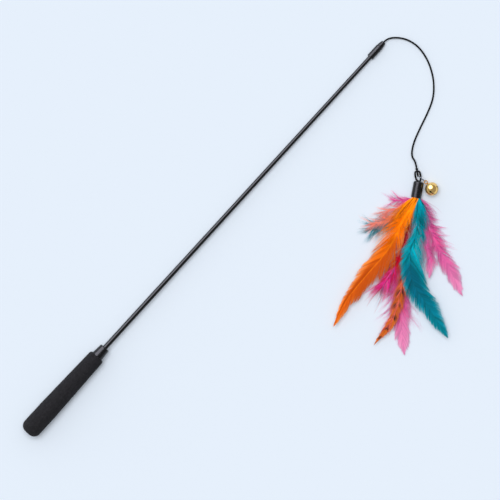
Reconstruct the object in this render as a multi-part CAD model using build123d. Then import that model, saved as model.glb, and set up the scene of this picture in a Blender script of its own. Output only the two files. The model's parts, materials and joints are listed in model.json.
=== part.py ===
from build123d import *
import os
from math import asin, cos, degrees, hypot, pi, radians, sin, sqrt, tan

# A cat teaser wand lying on a table: foam grip, tapered rod, turning tip, cord, bell and feather lure.
# Millimetres, +Z up, +X along the wand towards its tip, origin under the grip where it rests.

# Grip and its core
GRIP_RADIUS = 10.0
GRIP_LENGTH = 103.5
GRIP_BUTT_ROUND = 7.3
GRIP_PARALLEL_END = 30.0
GRIP_FRONT_RADIUS = 8.3
GRIP_FRONT_ROUND = 2.4
GRIP_BUTT_WALL = 6.0
REST_FROM_BUTT = 45.0
REST_FLAT_DEPTH = 0.15
TUBE_RADIUS = 5.5
TUBE_WALL = 1.5
PLUG_FLANGE = 1.5
PLUG_SPIGOT = 8.0

# Collar and rod
COLLAR_LENGTH = 11.5
COLLAR_BASE_RADIUS = 6.0
COLLAR_TOP_RADIUS = 5.2
COLLAR_ROUND = 1.0
COLLAR_SPIGOT = 35.0
ROD_BUTT_RADIUS = 2.55
ROD_TIP_RADIUS = 2.05
ROD_SHOWN = 392.5

# Tip: a sleeve on the rod and a nose that turns in it
SLEEVE_RADIUS = 3.45
SLEEVE_CHAMFER = 0.4
ROD_IN_SLEEVE = 7.5
CHAMBER_WALL = 0.75
MOUTH_LENGTH = 2.5
JOURNAL_RADIUS = 1.8
TURN_CLEARANCE = 0.15
FLANGE_LIP = 0.35
FLANGE_THICKNESS = 1.0
GROOVE_WIDTH = 0.45
NOSE_LENGTH = 5.45
NOSE_BASE_RADIUS = 3.25
NOSE_END_RADIUS = 2.4
NOSE_ROUND = 0.8
STOPPER_RADIUS = 1.7
STOPPER_GAP = 0.05

# Cord, its end loop and the lure's loop
CORD_RADIUS = 0.75
CORD_HOLE_CLEARANCE = 0.1
CORD_STUB = 0.5
KNOT_RADIUS = 1.7
LEG_SPACING = 1.7
LINK_PLAY = 0.45
LINK_SLACK = 2.6
LOOP_ROOM = 1.0
LOOP_NECK = 0.6
LOOP_KNOT_RADIUS = 2.3
LINK_HEADING = -127.6
CAP_LEAN = -20.4

# The cord's route: offsets along X and Y from where it leaves the nose, and heights above the table
CORD_START_RUN = 5.8
CORD_MIDDLE = [
    (12.3, -5.6, 3.0),
    (17.6, -15.0, 2.5),
    (19.8, -27.2, 1.8),
    (17.3, -40.9, 1.2),
    (11.4, -53.8, 0.9),
    (2.5, -65.5, 0.85),
    (-9.3, -74.9, 0.85),
    (-24.5, -80.5, 0.85),
    (-40.6, -85.0, 0.9),
    (-56.2, -90.3, 1.5),
    (-66.2, -97.2, 3.2),
]
CORD_END = (-70.8, -108.1)
CORD_END_RUN = 6.0
BEND_SHARE = 0.45

# Jump ring and bell
RING_RADIUS = 4.0
RING_WIRE = 0.6
RING_PLAY = 0.2
RING_FROM_LOOP = 1.0
RING_TO_CAP = 3.5
RING_HEADING = 40.0
RING_SPLIT = 0.15
BELL_RADIUS = 6.7
BELL_WALL = 0.5
BELL_HEADING = 30.0
BELL_SLOT = 0.8
BELL_HOLE_RADIUS = 1.1
BELL_HOLE_LATITUDE = 20.0
BELL_SLOT_ROLL = 60.0
EYE_WIRE = 0.9
EYE_WIDTH = 2.8
EYE_LENGTH = 3.4
EYE_LIFT = 0.1
EYE_STEM_RADIUS = 0.8
PELLET_RADIUS = 1.6
PELLET_GAP = 0.2

# Cap and the feather bundle
CAP_WALL = 0.95
CAP_TOP = 2.0
CAP_ROUND = 1.8
CAP_KNOT_GAP = 0.2
CAP_HOLE_CLEARANCE = 0.3
QUILL_WIDTH = 1.0
QUILL_THICKNESS = 0.7
QUILL_DEPTH = 5.0
QUILL_CLEARANCE = 0.05
PLUG_BACKING = 2.5
MOUTH_RECESS = 2.0
BORE_CLEARANCE = 0.3
SHAFT_END_WIDTH = 0.4
SHAFT_END = 0.9
VANE_THICKNESS = 0.3
VANE_START = 0.04
VANE_SWELL = 0.75
VANE_FULLNESS = 0.6
LEAF_STATIONS = 10

# Each feather has a layer of its own: the pitch at the roots, then the lowest and the highest layer's
# height above the table at two places along the feathers
LAYER_PITCH = 0.55
ROOT_STRAIGHT = 2.0
LAYER_MIDDLE_X = 60.0
LAYER_MIDDLE_HEIGHTS = (0.9, 9.6)
LAYER_END_X = 170.0
LAYER_END_HEIGHTS = (0.9, 8.6)

# Feathers from the table up: name, place of the quill across the bore, half width, points of the shaft
FEATHERS = [
    ("teal_side_plume", -1.6, 7.0, [(15.0, -6.0), (26.5, -16.2), (36.0, -24.6), (51.0, -42.0)]),
    ("pink_tail_feather", 0.0, 9.0, [(22.0, 2.3), (52.0, 1.8), (88.0, 2.2), (113.0, 5.7), (157.0, 17.0)]),
    ("pink_side_feather", 1.6, 9.0, [(21.7, 15.5), (47.0, 32.3), (63.0, 45.4), (88.0, 62.8)]),
    ("coral_plume", -2.8, 6.0, [(9.0, -9.0), (18.0, -18.0), (26.0, -37.0)]),
    ("crimson_feather", -0.6, 8.0, [(24.6, -2.0), (51.6, -4.5), (71.7, -8.5), (96.0, -17.7)]),
    ("pink_inner_feather", 2.4, 8.0, [(16.0, 7.3), (39.6, 17.7), (60.0, 26.0), (82.0, 28.6)]),
    ("pink_plume", -2.8, 4.5, [(3.6, -10.0), (6.5, -17.0), (10.0, -25.0)]),
    ("coral_side_plume", -1.4, 5.0, [(11.0, -6.5), (22.7, -17.9), (30.0, -31.0), (34.0, -47.0)]),
    ("barred_feather", 0.2, 8.0, [(27.5, 0.6), (57.8, 1.7), (95.0, 2.2), (124.0, -1.3), (152.7, -15.1)]),
    ("teal_plume", 2.6, 7.5, [(14.0, 7.0), (28.0, 12.5), (44.0, 15.0)]),
    (
        "orange_feather",
        -1.4,
        12.5,
        [(24.0, -8.5), (56.3, -18.5), (81.8, -33.1), (113.5, -50.0), (142.0, -58.4)],
    ),
    ("teal_feather", 1.4, 10.5, [(31.0, 6.5), (57.4, 4.3), (81.5, 11.1), (102.5, 29.2), (132.6, 57.1)]),
]


def bar(radius, start, end):
    """A round bar along X from start to end."""
    return Pos((start + end) / 2, 0, 0) * Rot(0, 90, 0) * Cylinder(radius, end - start)


def turned(*edges):
    """A solid of revolution about X from the edges of its half section."""
    return revolve(make_face(Curve() + list(edges)), Axis.X)


def ball(radius):
    """A round knot with its poles across the cord."""
    return Rot(90, 0, 0) * Sphere(radius)


def between(ends, share):
    """The value at a share of the way from one end to the other."""
    return ends[0] + (ends[1] - ends[0]) * share


def bend_radii(points):
    """One radius for each corner, as large as its two runs allow."""
    corners = [Vector(*point) for point in points]
    radii = []
    for before, corner, after in zip(corners, corners[1:], corners[2:]):
        shorter = min((corner - before).length, (after - corner).length)
        half_turn = radians((corner - before).get_angle(after - corner)) / 2
        radii.append(BEND_SHARE * shorter / tan(half_turn))
    return radii


def cord_tube(points):
    """A round cord along straight runs joined by arcs, with its path."""
    path = FilletPolyline(*points, radius=bend_radii(points))
    return sweep(Plane(path @ 0, z_dir=path % 0) * Circle(CORD_RADIUS), path), path


parts = {}

# Grip: the wand's own frame has its origin at the butt and X along its axis
tube_end = GRIP_BUTT_WALL + PLUG_FLANGE
tube_bore = TUBE_RADIUS - TUBE_WALL
parallel_end = (GRIP_PARALLEL_END, GRIP_RADIUS)
front_shoulder = (GRIP_LENGTH - GRIP_FRONT_ROUND, GRIP_FRONT_RADIUS)
front_edge = (GRIP_LENGTH, GRIP_FRONT_RADIUS - GRIP_FRONT_ROUND)
butt_edge = (0, GRIP_RADIUS - GRIP_BUTT_ROUND)
butt_shoulder = (GRIP_BUTT_ROUND, GRIP_RADIUS)
grip_bore = [
    front_edge,
    (GRIP_LENGTH, TUBE_RADIUS),
    (GRIP_BUTT_WALL, TUBE_RADIUS),
    (GRIP_BUTT_WALL, 0),
    (0, 0),
    butt_edge,
]
foam = turned(
    TangentArc(butt_edge, butt_shoulder, tangent=(0, 1)),
    Line(butt_shoulder, parallel_end),
    TangentArc(parallel_end, front_shoulder, tangent=(1, 0)),
    TangentArc(front_shoulder, front_edge, tangent=(1, 0)),
    Polyline(*grip_bore),
)
tube = bar(TUBE_RADIUS, tube_end, GRIP_LENGTH) - bar(tube_bore, tube_end, GRIP_LENGTH)
butt_plug = bar(TUBE_RADIUS, GRIP_BUTT_WALL, tube_end) + bar(tube_bore, tube_end, tube_end + PLUG_SPIGOT)

# Collar: a tapered ferrule with a spigot in the tube and a bore for the rod
collar_end = GRIP_LENGTH + COLLAR_LENGTH
spigot_end = GRIP_LENGTH - COLLAR_SPIGOT
collar_shoulder = (collar_end - COLLAR_ROUND, COLLAR_TOP_RADIUS)
collar_edge = (collar_end, COLLAR_TOP_RADIUS - COLLAR_ROUND)
collar_outline = [
    collar_edge,
    (collar_end, ROD_BUTT_RADIUS),
    (spigot_end, ROD_BUTT_RADIUS),
    (spigot_end, tube_bore),
    (GRIP_LENGTH, tube_bore),
    (GRIP_LENGTH, COLLAR_BASE_RADIUS),
    collar_shoulder,
]
collar = turned(
    TangentArc(collar_shoulder, collar_edge, tangent=(1, 0)),
    Polyline(*collar_outline),
)

# Rod: straight in the collar, tapered where it shows, straight again in the tip
sleeve_start = collar_end + ROD_SHOWN
rod_end = sleeve_start + ROD_IN_SLEEVE
rod_outline = [
    (spigot_end, 0),
    (spigot_end, ROD_BUTT_RADIUS),
    (collar_end, ROD_BUTT_RADIUS),
    (sleeve_start, ROD_TIP_RADIUS),
    (rod_end, ROD_TIP_RADIUS),
    (rod_end, 0),
]
rod = turned(Polyline(*rod_outline, close=True))

# Tip sleeve: a bore for the rod, a chamber for the knot and a mouth in which the nose turns
chamber_radius = SLEEVE_RADIUS - CHAMBER_WALL
chamber_end = rod_end + 2 * (STOPPER_RADIUS + STOPPER_GAP) + FLANGE_THICKNESS + TURN_CLEARANCE
sleeve_end = chamber_end + MOUTH_LENGTH
mouth_radius = JOURNAL_RADIUS + TURN_CLEARANCE
sleeve_outline = [
    (sleeve_start, ROD_TIP_RADIUS),
    (sleeve_start, SLEEVE_RADIUS - SLEEVE_CHAMFER),
    (sleeve_start + SLEEVE_CHAMFER, SLEEVE_RADIUS),
    (sleeve_end - SLEEVE_CHAMFER, SLEEVE_RADIUS),
    (sleeve_end, SLEEVE_RADIUS - SLEEVE_CHAMFER),
    (sleeve_end, mouth_radius),
    (chamber_end, mouth_radius),
    (chamber_end, chamber_radius),
    (rod_end, chamber_radius),
    (rod_end, ROD_TIP_RADIUS),
]
sleeve = turned(Polyline(*sleeve_outline, close=True))

# Nose: a flange behind the mouth, a journal in it and the rounded end that the cord leaves
cord_hole = CORD_RADIUS + CORD_HOLE_CLEARANCE
flange_front = chamber_end - TURN_CLEARANCE
flange_back = flange_front - FLANGE_THICKNESS
flange_radius = mouth_radius + FLANGE_LIP
nose_start = sleeve_end + GROOVE_WIDTH
nose_end = nose_start + NOSE_LENGTH
nose_shoulder = (nose_end - NOSE_ROUND, NOSE_END_RADIUS)
nose_edge = (nose_end, NOSE_END_RADIUS - NOSE_ROUND)
nose_outline = [
    nose_edge,
    (nose_end, cord_hole),
    (flange_back, cord_hole),
    (flange_back, flange_radius),
    (flange_front, flange_radius),
    (flange_front, JOURNAL_RADIUS),
    (nose_start, JOURNAL_RADIUS),
    (nose_start, NOSE_BASE_RADIUS),
    nose_shoulder,
]
nose = turned(
    TangentArc(nose_shoulder, nose_edge, tangent=(1, 0)),
    Polyline(*nose_outline),
)

# Stopper knot with the cord's short stub through the nose
stopper_at = flange_back - STOPPER_RADIUS - STOPPER_GAP
exit_at = nose_end + CORD_STUB
stopper = Pos(stopper_at, 0, 0) * ball(STOPPER_RADIUS) + bar(CORD_RADIUS, stopper_at, exit_at)

# The wand lies on the grip and the tip sleeve, so its axis falls gently towards the tip
taper_run = front_shoulder[0] - GRIP_PARALLEL_END
taper_drop = GRIP_RADIUS - GRIP_FRONT_RADIUS
taper_radius = (taper_run**2 + taper_drop**2) / (2 * taper_drop)
rest_run = REST_FROM_BUTT - GRIP_PARALLEL_END
rest_radius = GRIP_RADIUS - taper_radius + sqrt(taper_radius**2 - rest_run**2)
axis_height = rest_radius - REST_FLAT_DEPTH
tilt = degrees(asin((axis_height - SLEEVE_RADIUS) / (sleeve_end - REST_FROM_BUTT)))
wand_place = Pos(0, 0, axis_height) * Rot(0, tilt, 0) * Pos(-REST_FROM_BUTT, 0, 0)
table = Pos(0, 0, -GRIP_RADIUS) * Box(2 * GRIP_LENGTH, 2 * GRIP_RADIUS, 2 * GRIP_RADIUS)

parts["foam_grip"] = wand_place * foam - table
parts["core_tube"] = wand_place * tube
parts["core_plug"] = wand_place * butt_plug
parts["collar"] = wand_place * collar
parts["rod"] = wand_place * rod
parts["tip_sleeve"] = wand_place * sleeve
parts["tip_nose"] = wand_place * nose
parts["stopper_knot"] = wand_place * stopper

# Bundle: the bore takes every quill, and the cap lies on the table
top_layer = len(FEATHERS) - 1
quill_heights = [(layer - top_layer / 2) * LAYER_PITCH for layer in range(len(FEATHERS))]
quill_reach = [
    hypot(abs(across) + QUILL_WIDTH / 2, abs(height) + QUILL_THICKNESS / 2)
    for height, (name, across, half_width, points) in zip(quill_heights, FEATHERS)
]
cap_bore = max(quill_reach) + BORE_CLEARANCE
cap_radius = cap_bore + CAP_WALL
knot_room = 2 * (LOOP_KNOT_RADIUS + CAP_KNOT_GAP)
plug_length = QUILL_DEPTH + PLUG_BACKING
cap_length = CAP_TOP + knot_room + plug_length + MOUTH_RECESS

# Cord: out of the nose along the wand, over the table and up into the lure's loop
exit_point = (wand_place * Pos(exit_at, 0, 0)).position
start_point = (wand_place * Pos(exit_at + CORD_START_RUN, 0, 0)).position
end_direction = Vector(cos(radians(LINK_HEADING)), sin(radians(LINK_HEADING)), 0)
end_point = Vector(exit_point.X + CORD_END[0], exit_point.Y + CORD_END[1], cap_radius)
route = [exit_point, start_point]
route += [Vector(exit_point.X + x, exit_point.Y + y, z) for x, y, z in CORD_MIDDLE]
route += [end_point - end_direction * CORD_END_RUN, end_point]
parts["cord"], cord_path = cord_tube([tuple(point) for point in route])

# Link frame: origin at the knot of the cord's end loop, X towards the lure, Y across the loops
knot_stub = KNOT_RADIUS + CORD_STUB
link = Pos(*(end_point + end_direction * knot_stub)) * Rot(0, 0, LINK_HEADING)
leg = LEG_SPACING / 2
loop_half = 2 * CORD_RADIUS + LINK_PLAY
lure_half = 2 * CORD_RADIUS + LOOP_ROOM
lure_loop_end = KNOT_RADIUS + CORD_RADIUS + LINK_PLAY
loop_end = lure_loop_end + 2 * CORD_RADIUS + LINK_SLACK
ring_at = loop_end + CORD_RADIUS + RING_WIRE / 2 + RING_FROM_LOOP
cap_at = ring_at + RING_TO_CAP

# The cord's end loop stands upright, so that the lure's flat loop passes through it
end_loop_points = [
    (0, 0, leg),
    (lure_loop_end, 0, loop_half),
    (loop_end, 0, loop_half),
    (loop_end, 0, -loop_half),
    (lure_loop_end, 0, -loop_half),
    (0, 0, -leg),
]
end_loop = cord_tube(end_loop_points)[0]
parts["cord_loop"] = link * (end_loop + ball(KNOT_RADIUS) + bar(CORD_RADIUS, -knot_stub, 0))

# The lure's loop lies flat, and its legs go into the cap's top, which leans from the loop
lean = Pos(cap_at, 0, 0) * Rot(0, 0, CAP_LEAN)
knot_at = CAP_TOP + CAP_KNOT_GAP + LOOP_KNOT_RADIUS
neck_at = ring_at + CORD_RADIUS + RING_WIRE
lure_loop_points = [
    tuple((lean * Pos(knot_at, leg, 0)).position),
    tuple((lean * Pos(-LOOP_NECK, leg, 0)).position),
    (neck_at, lure_half, 0),
    (lure_loop_end, lure_half, 0),
    (lure_loop_end, -lure_half, 0),
    (neck_at, -lure_half, 0),
    tuple((lean * Pos(-LOOP_NECK, -leg, 0)).position),
    tuple((lean * Pos(knot_at, -leg, 0)).position),
]
lure_loop = cord_tube(lure_loop_points)[0]
parts["lure_loop"] = link * (lure_loop + lean * Pos(knot_at, 0, 0) * ball(LOOP_KNOT_RADIUS))

# Cap: the lure frame has its origin at the cap's mouth and X towards the feather tips
lure = link * lean * Pos(cap_length, 0, 0)
cap_hole = leg + CORD_RADIUS + CAP_HOLE_CLEARANCE
cap_back = -cap_length
cap_edge = (cap_back, cap_radius - CAP_ROUND)
cap_shoulder = (cap_back + CAP_ROUND, cap_radius)
cap_outline = [
    cap_shoulder,
    (0, cap_radius),
    (0, cap_bore),
    (cap_back + CAP_TOP, cap_bore),
    (cap_back + CAP_TOP, cap_hole),
    (cap_back, cap_hole),
    cap_edge,
]
parts["lure_cap"] = lure * turned(
    TangentArc(cap_edge, cap_shoulder, tangent=(0, 1)),
    Polyline(*cap_outline),
)

# Resin plug with a pocket for each quill
plug_front = -MOUTH_RECESS
quill_end = plug_front - QUILL_DEPTH
pocket = Box(
    QUILL_DEPTH + QUILL_CLEARANCE,
    QUILL_WIDTH + 2 * QUILL_CLEARANCE,
    QUILL_THICKNESS + 2 * QUILL_CLEARANCE,
)
plug = bar(cap_bore, plug_front - plug_length, plug_front)
for height, (name, across, half_width, points) in zip(quill_heights, FEATHERS):
    plug -= Pos(plug_front - (QUILL_DEPTH + QUILL_CLEARANCE) / 2, across, height) * pocket
parts["glue_plug"] = lure * plug


def layer_slab(layer, thickness):
    """A thin arched sheet, wide enough for any feather."""
    root = quill_heights[layer]
    middle = between(LAYER_MIDDLE_HEIGHTS, layer / top_layer) - cap_radius
    end = between(LAYER_END_HEIGHTS, layer / top_layer) - cap_radius
    line = Line((quill_end, root), (ROOT_STRAIGHT, root))
    arch_points = [(ROOT_STRAIGHT, root), (LAYER_MIDDLE_X, middle), (LAYER_END_X, end)]
    arch = Spline(*arch_points, tangents=((1, 0), (1, 0)))
    up = Pos(0, thickness / 2)
    down = Pos(0, -thickness / 2)
    upper = [up * line, up * arch]
    lower = [down * line, down * arch]
    ends = [Line(upper[0] @ 0, lower[0] @ 0), Line(upper[1] @ 1, lower[1] @ 1)]
    section = make_face(Curve() + upper + lower + ends)
    return extrude(Plane.XZ * section, amount=LAYER_END_X, both=True)


def leaf_half_width(share):
    """A feather's half width along its shaft, as a share of the widest."""
    return sin(pi * share**VANE_SWELL) ** VANE_FULLNESS


def feather(layer, across, half_width, points):
    """One feather in the lure frame: a thin arched vane on a thicker tapered shaft."""
    spine = Spline((0, across), *points, tangents=((1, 0), Vector(*points[-1]) - Vector(*points[-2])))
    shares = [between((VANE_START, 1), station / LEAF_STATIONS) for station in range(LEAF_STATIONS + 1)]
    middle = [spine @ share for share in shares]
    across_spine = [(spine % share).rotate(Axis.Z, 90) for share in shares]
    half = [half_width * leaf_half_width(station / LEAF_STATIONS) for station in range(LEAF_STATIONS + 1)]
    left = [p + n * h for p, n, h in zip(middle, across_spine, half)][1:-1]
    right = [p - n * h for p, n, h in zip(middle, across_spine, half)][1:-1]
    leaf = make_face(Spline(middle[0], *left, middle[-1]) + Spline(middle[-1], *reversed(right), middle[0]))

    shaft_shares = [SHAFT_END * station / LEAF_STATIONS for station in range(LEAF_STATIONS + 1)]
    shaft_half = [
        between((QUILL_WIDTH, SHAFT_END_WIDTH), station / LEAF_STATIONS) / 2
        for station in range(LEAF_STATIONS + 1)
    ]
    sides = []
    for sign in (1, -1):
        side = [
            spine @ share + (spine % share).rotate(Axis.Z, 90) * (sign * half_at)
            for share, half_at in zip(shaft_shares, shaft_half)
        ]
        root = Vector(quill_end, across + sign * QUILL_WIDTH / 2)
        sides.append((root, side))
    (left_root, left_side), (right_root, right_side) = sides
    shaft = make_face(
        Line(right_root, left_root)
        + Line(left_root, left_side[0])
        + Spline(*left_side)
        + Line(left_side[-1], right_side[-1])
        + Spline(*reversed(right_side))
        + Line(right_side[0], right_root)
    )
    vane_solid = extrude(leaf, amount=LAYER_END_X, both=True) & layer_slab(layer, VANE_THICKNESS)
    shaft_solid = extrude(shaft, amount=LAYER_END_X, both=True) & layer_slab(layer, QUILL_THICKNESS)
    return vane_solid + shaft_solid


for layer, (name, across, half_width, points) in enumerate(FEATHERS):
    parts[name] = lure * feather(layer, across, half_width, points)

# Jump ring: upright and slanting across the lure loop's side, with its cut at the top
ring_offset = RING_RADIUS - (CORD_RADIUS + RING_WIRE / 2 + RING_PLAY) / sin(radians(RING_HEADING))
ring_hang = Pos(ring_at, lure_half, 0) * Rot(0, 0, RING_HEADING)
ring_cut = Pos(0, 0, RING_RADIUS) * Box(RING_SPLIT, 2 * RING_WIRE, 2 * RING_WIRE)
ring = Rot(90, 0, 0) * Torus(RING_RADIUS, RING_WIRE / 2) - ring_cut
parts["jump_ring"] = link * ring_hang * Pos(ring_offset, 0, 0) * ring
ring_far = link * ring_hang * Pos(ring_offset + RING_RADIUS, 0, 0)

# Bell: its frame has its origin at the centre and X towards the eye
eye_base = BELL_RADIUS + EYE_WIRE / 2 + EYE_LIFT
eye_end = eye_base + EYE_LENGTH
eye_reach = eye_end - EYE_WIRE / 2 - RING_WIRE / 2 - RING_PLAY
bell_drop = degrees(asin((BELL_RADIUS - cap_radius) / eye_reach))
bell_forward = Vector(
    cos(radians(LINK_HEADING + BELL_HEADING)),
    sin(radians(LINK_HEADING + BELL_HEADING)),
    0,
)
bell_centre = ring_far.position + bell_forward * (eye_reach * cos(radians(bell_drop)))
bell_centre = Vector(bell_centre.X, bell_centre.Y, BELL_RADIUS)
bell = Pos(*bell_centre) * Rot(0, 0, LINK_HEADING + BELL_HEADING + 180) * Rot(0, bell_drop, 0)

half_space = Pos(BELL_RADIUS, 0, 0) * Box(2 * BELL_RADIUS, 2 * BELL_RADIUS, 2 * BELL_RADIUS)
shell = Sphere(BELL_RADIUS) - Sphere(BELL_RADIUS - BELL_WALL)
stem_hole = bar(EYE_STEM_RADIUS, 0, eye_base)
parts["bell_upper_shell"] = bell * (shell & half_space - stem_hole)

hole_polar = 90 + BELL_HOLE_LATITUDE
slot_depth = BELL_RADIUS * (1 - sin(radians(BELL_HOLE_LATITUDE)))
slot_reach = 2 * BELL_RADIUS * cos(radians(BELL_HOLE_LATITUDE))
lower_shell = shell - half_space
for turn in range(4):
    hole = Rot(0, 0, hole_polar) * bar(BELL_HOLE_RADIUS, 0, 2 * BELL_RADIUS)
    lower_shell -= Rot(BELL_SLOT_ROLL + 90 * turn, 0, 0) * hole
for turn in range(2):
    slot = Box(slot_depth, slot_reach, BELL_SLOT)
    lower_shell -= Rot(BELL_SLOT_ROLL + 90 * turn, 0, 0) * Pos(slot_depth / 2 - BELL_RADIUS, 0, 0) * slot
parts["bell_lower_shell"] = bell * lower_shell

eye_points = [
    (eye_base, EYE_WIDTH / 2),
    (eye_end, EYE_WIDTH / 2),
    (eye_end, -EYE_WIDTH / 2),
    (eye_base, -EYE_WIDTH / 2),
]
eye_path = FilletPolyline(*eye_points, radius=BEND_SHARE * EYE_WIDTH, close=True)
eye_wire = sweep(Plane(eye_path @ 0, z_dir=eye_path % 0) * Circle(EYE_WIRE / 2), eye_path)
parts["bell_eye"] = bell * (eye_wire + bar(EYE_STEM_RADIUS, BELL_RADIUS - BELL_WALL, eye_base))

pellet_drop = BELL_RADIUS - BELL_WALL - PELLET_GAP - PELLET_RADIUS
parts["bell_pellet"] = Pos(*bell_centre) * Pos(0, 0, -pellet_drop) * Sphere(PELLET_RADIUS)

os.makedirs("parts", exist_ok=True)
for name, solid in parts.items():
    export_step(solid, f"parts/{name}.step")

radii = bend_radii([tuple(point) for point in route])
section = pi * CORD_RADIUS**2
print("cord bend radii", [round(radius, 1) for radius in radii])
print("cord length", round(cord_path.length, 1), "volume", round(parts["cord"].volume, 1))
print("cord section times length", round(section * cord_path.length, 1))
print("wand length", round(nose_end, 1), "tilt", round(tilt, 3), "grip axis height", round(axis_height, 3))
print("cap radius", round(cap_radius, 2), "length", round(cap_length, 2))
pivots = {
    "butt": (wand_place * Pos(0, 0, 0)).position,
    "tip_turn": (wand_place * Pos(sleeve_end, 0, 0)).position,
    "cord_swing": exit_point,
    "lure_swing": (link * Pos(loop_end, 0, 0)).position,
    "ring_swing": (link * Pos(ring_at, lure_half, 0)).position,
    "bell_swing": ring_far.position,
    "pellet_roll": bell_centre,
    "cap_mouth": lure.position,
}
for name, point in pivots.items():
    print("place", name, [round(value, 3) for value in point])
for point in route:
    print("route", [round(value, 2) for value in point])
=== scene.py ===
# %% [markdown]
# # A cat teaser wand with a feather lure
# The wand lies on a table: a foam grip, a thin black rod, a turning tip, a limp cord, and a lure of dyed
# feathers with a small bell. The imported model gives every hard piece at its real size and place, so this
# script only dresses it: finishes for the hard pieces, and new meshes for what is soft or wound.

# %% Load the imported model
import json
import math
from collections import namedtuple

import bmesh
import bpy
import numpy as np
from mathutils import Matrix, Vector, noise


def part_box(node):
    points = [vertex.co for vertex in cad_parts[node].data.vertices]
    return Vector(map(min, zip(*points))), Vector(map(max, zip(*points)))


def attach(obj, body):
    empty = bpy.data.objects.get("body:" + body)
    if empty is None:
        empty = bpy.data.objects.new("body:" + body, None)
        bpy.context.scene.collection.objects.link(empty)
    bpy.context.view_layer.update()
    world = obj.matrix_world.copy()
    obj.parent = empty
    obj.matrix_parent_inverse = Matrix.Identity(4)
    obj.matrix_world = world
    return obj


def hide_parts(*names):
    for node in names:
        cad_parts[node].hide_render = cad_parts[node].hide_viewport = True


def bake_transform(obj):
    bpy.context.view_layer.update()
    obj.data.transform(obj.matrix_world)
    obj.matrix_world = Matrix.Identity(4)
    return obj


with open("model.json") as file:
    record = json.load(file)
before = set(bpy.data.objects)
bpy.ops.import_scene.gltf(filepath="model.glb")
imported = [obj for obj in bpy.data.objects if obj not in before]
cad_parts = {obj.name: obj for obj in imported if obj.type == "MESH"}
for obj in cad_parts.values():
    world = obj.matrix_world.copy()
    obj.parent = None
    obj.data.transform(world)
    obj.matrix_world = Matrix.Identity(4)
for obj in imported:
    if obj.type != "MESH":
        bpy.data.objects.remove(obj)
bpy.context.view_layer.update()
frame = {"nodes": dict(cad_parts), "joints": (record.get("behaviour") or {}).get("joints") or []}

MM = 0.001
joints = {joint["name"]: joint for joint in frame["joints"]}

# %% [markdown]
# ## Camera
# The picture looks straight down at a table, with the wand running from the lower left to the upper right.
# A wide lens close by would make the high grip look larger than the low cord. A long lens far away keeps
# sizes true over the whole picture, so it stands as high as its field of view asks for.

# %% Camera
PHOTO_CENTRE = Vector((0.2395, -0.0412, 0))
PHOTO_FIELD = 0.5
PHOTO_TURN = math.radians(-47.62)
LENS = 300
SENSOR = 36


def link_object(name, data):
    """A new object in the scene."""
    item = bpy.data.objects.new(name, data)
    bpy.context.scene.collection.objects.link(item)
    return item


camera_data = bpy.data.cameras.new("camera")
camera_data.lens = LENS
camera_data.sensor_width = SENSOR
camera = link_object("camera", camera_data)
camera.location = PHOTO_CENTRE + Vector((0, 0, PHOTO_FIELD * LENS / SENSOR))
camera.rotation_euler = (0, 0, PHOTO_TURN)
bpy.context.scene.camera = camera
print("camera height", round(camera.location.z, 3), "m")

# %% [markdown]
# ## Table and light
# The shadows are short and lie close to the pieces, while the highlights stand to the upper left. One lamp
# cannot do both. So a sun with a wide soft disc, nearly overhead, lights the table and casts the shadows, and
# the world fills them, mostly from the upper left. Mirrors see something else of the world: a large soft box
# to the upper left, a dim ceiling, and a pale horizon where the table would run on.

# %% Colours and node helpers
def srgb(red, green, blue):
    """A colour as a screen shows it, 0 to 255, in the linear values that sockets take."""
    shares = (value / 255 for value in (red, green, blue))
    return (*(v / 12.92 if v <= 0.04045 else ((v + 0.055) / 1.055) ** 2.4 for v in shares), 1.0)


def add_node(tree, kind, **settings):
    """A new node with its own settings."""
    node = tree.nodes.new(kind)
    for name, value in settings.items():
        setattr(node, name, value)
    return node


def set_inputs(node, **values):
    """Sets constants on a node's own sockets. A label's spaces are written as underscores."""
    for label, value in values.items():
        node.inputs[label.replace("_", " ")].default_value = value


def feed(tree, sockets, values):
    """Gives each socket its value: a link from another socket, or a constant."""
    for socket, value in zip(sockets, values):
        if isinstance(value, bpy.types.NodeSocket):
            tree.links.new(value, socket)
        else:
            socket.default_value = value


def math_node(tree, operation, *values):
    """A Math node on sockets or numbers. Returns its output."""
    node = add_node(tree, "ShaderNodeMath", operation=operation)
    feed(tree, node.inputs, values)
    return node.outputs[0]


def times(tree, first, second):
    """The product of two values."""
    return math_node(tree, "MULTIPLY", first, second)


def blend_colours(tree, factor, first, second):
    """Mixes two colours by a factor, each a socket or a constant. Returns the mixed colour."""
    node = add_node(tree, "ShaderNodeMix", data_type="RGBA")
    feed(tree, (node.inputs[0], node.inputs[6], node.inputs[7]), (factor, first, second))
    return node.outputs[2]


def ramp(tree, value, start, end, kind="SMOOTHSTEP"):
    """A step from 0 to 1 between two values."""
    node = add_node(tree, "ShaderNodeMapRange", interpolation_type=kind)
    set_inputs(node, From_Min=start, From_Max=end)
    tree.links.new(value, node.inputs["Value"])
    return node.outputs["Result"]


def start_material(name, **sockets):
    """A material with its Principled shader, and the shader's constants set on its own sockets."""
    material = bpy.data.materials.new(name)
    material.use_nodes = True
    shader = material.node_tree.nodes["Principled BSDF"]
    set_inputs(shader, **sockets)
    return material, material.node_tree, shader


print("a screen's middle grey is", round(srgb(128, 128, 128)[0], 3), "in linear values")

# %% Table
TABLE_COLOUR = srgb(230, 240, 252)
TABLE_SIZE = 6.0
TABLE_DROP = 0.02 * MM

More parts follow.
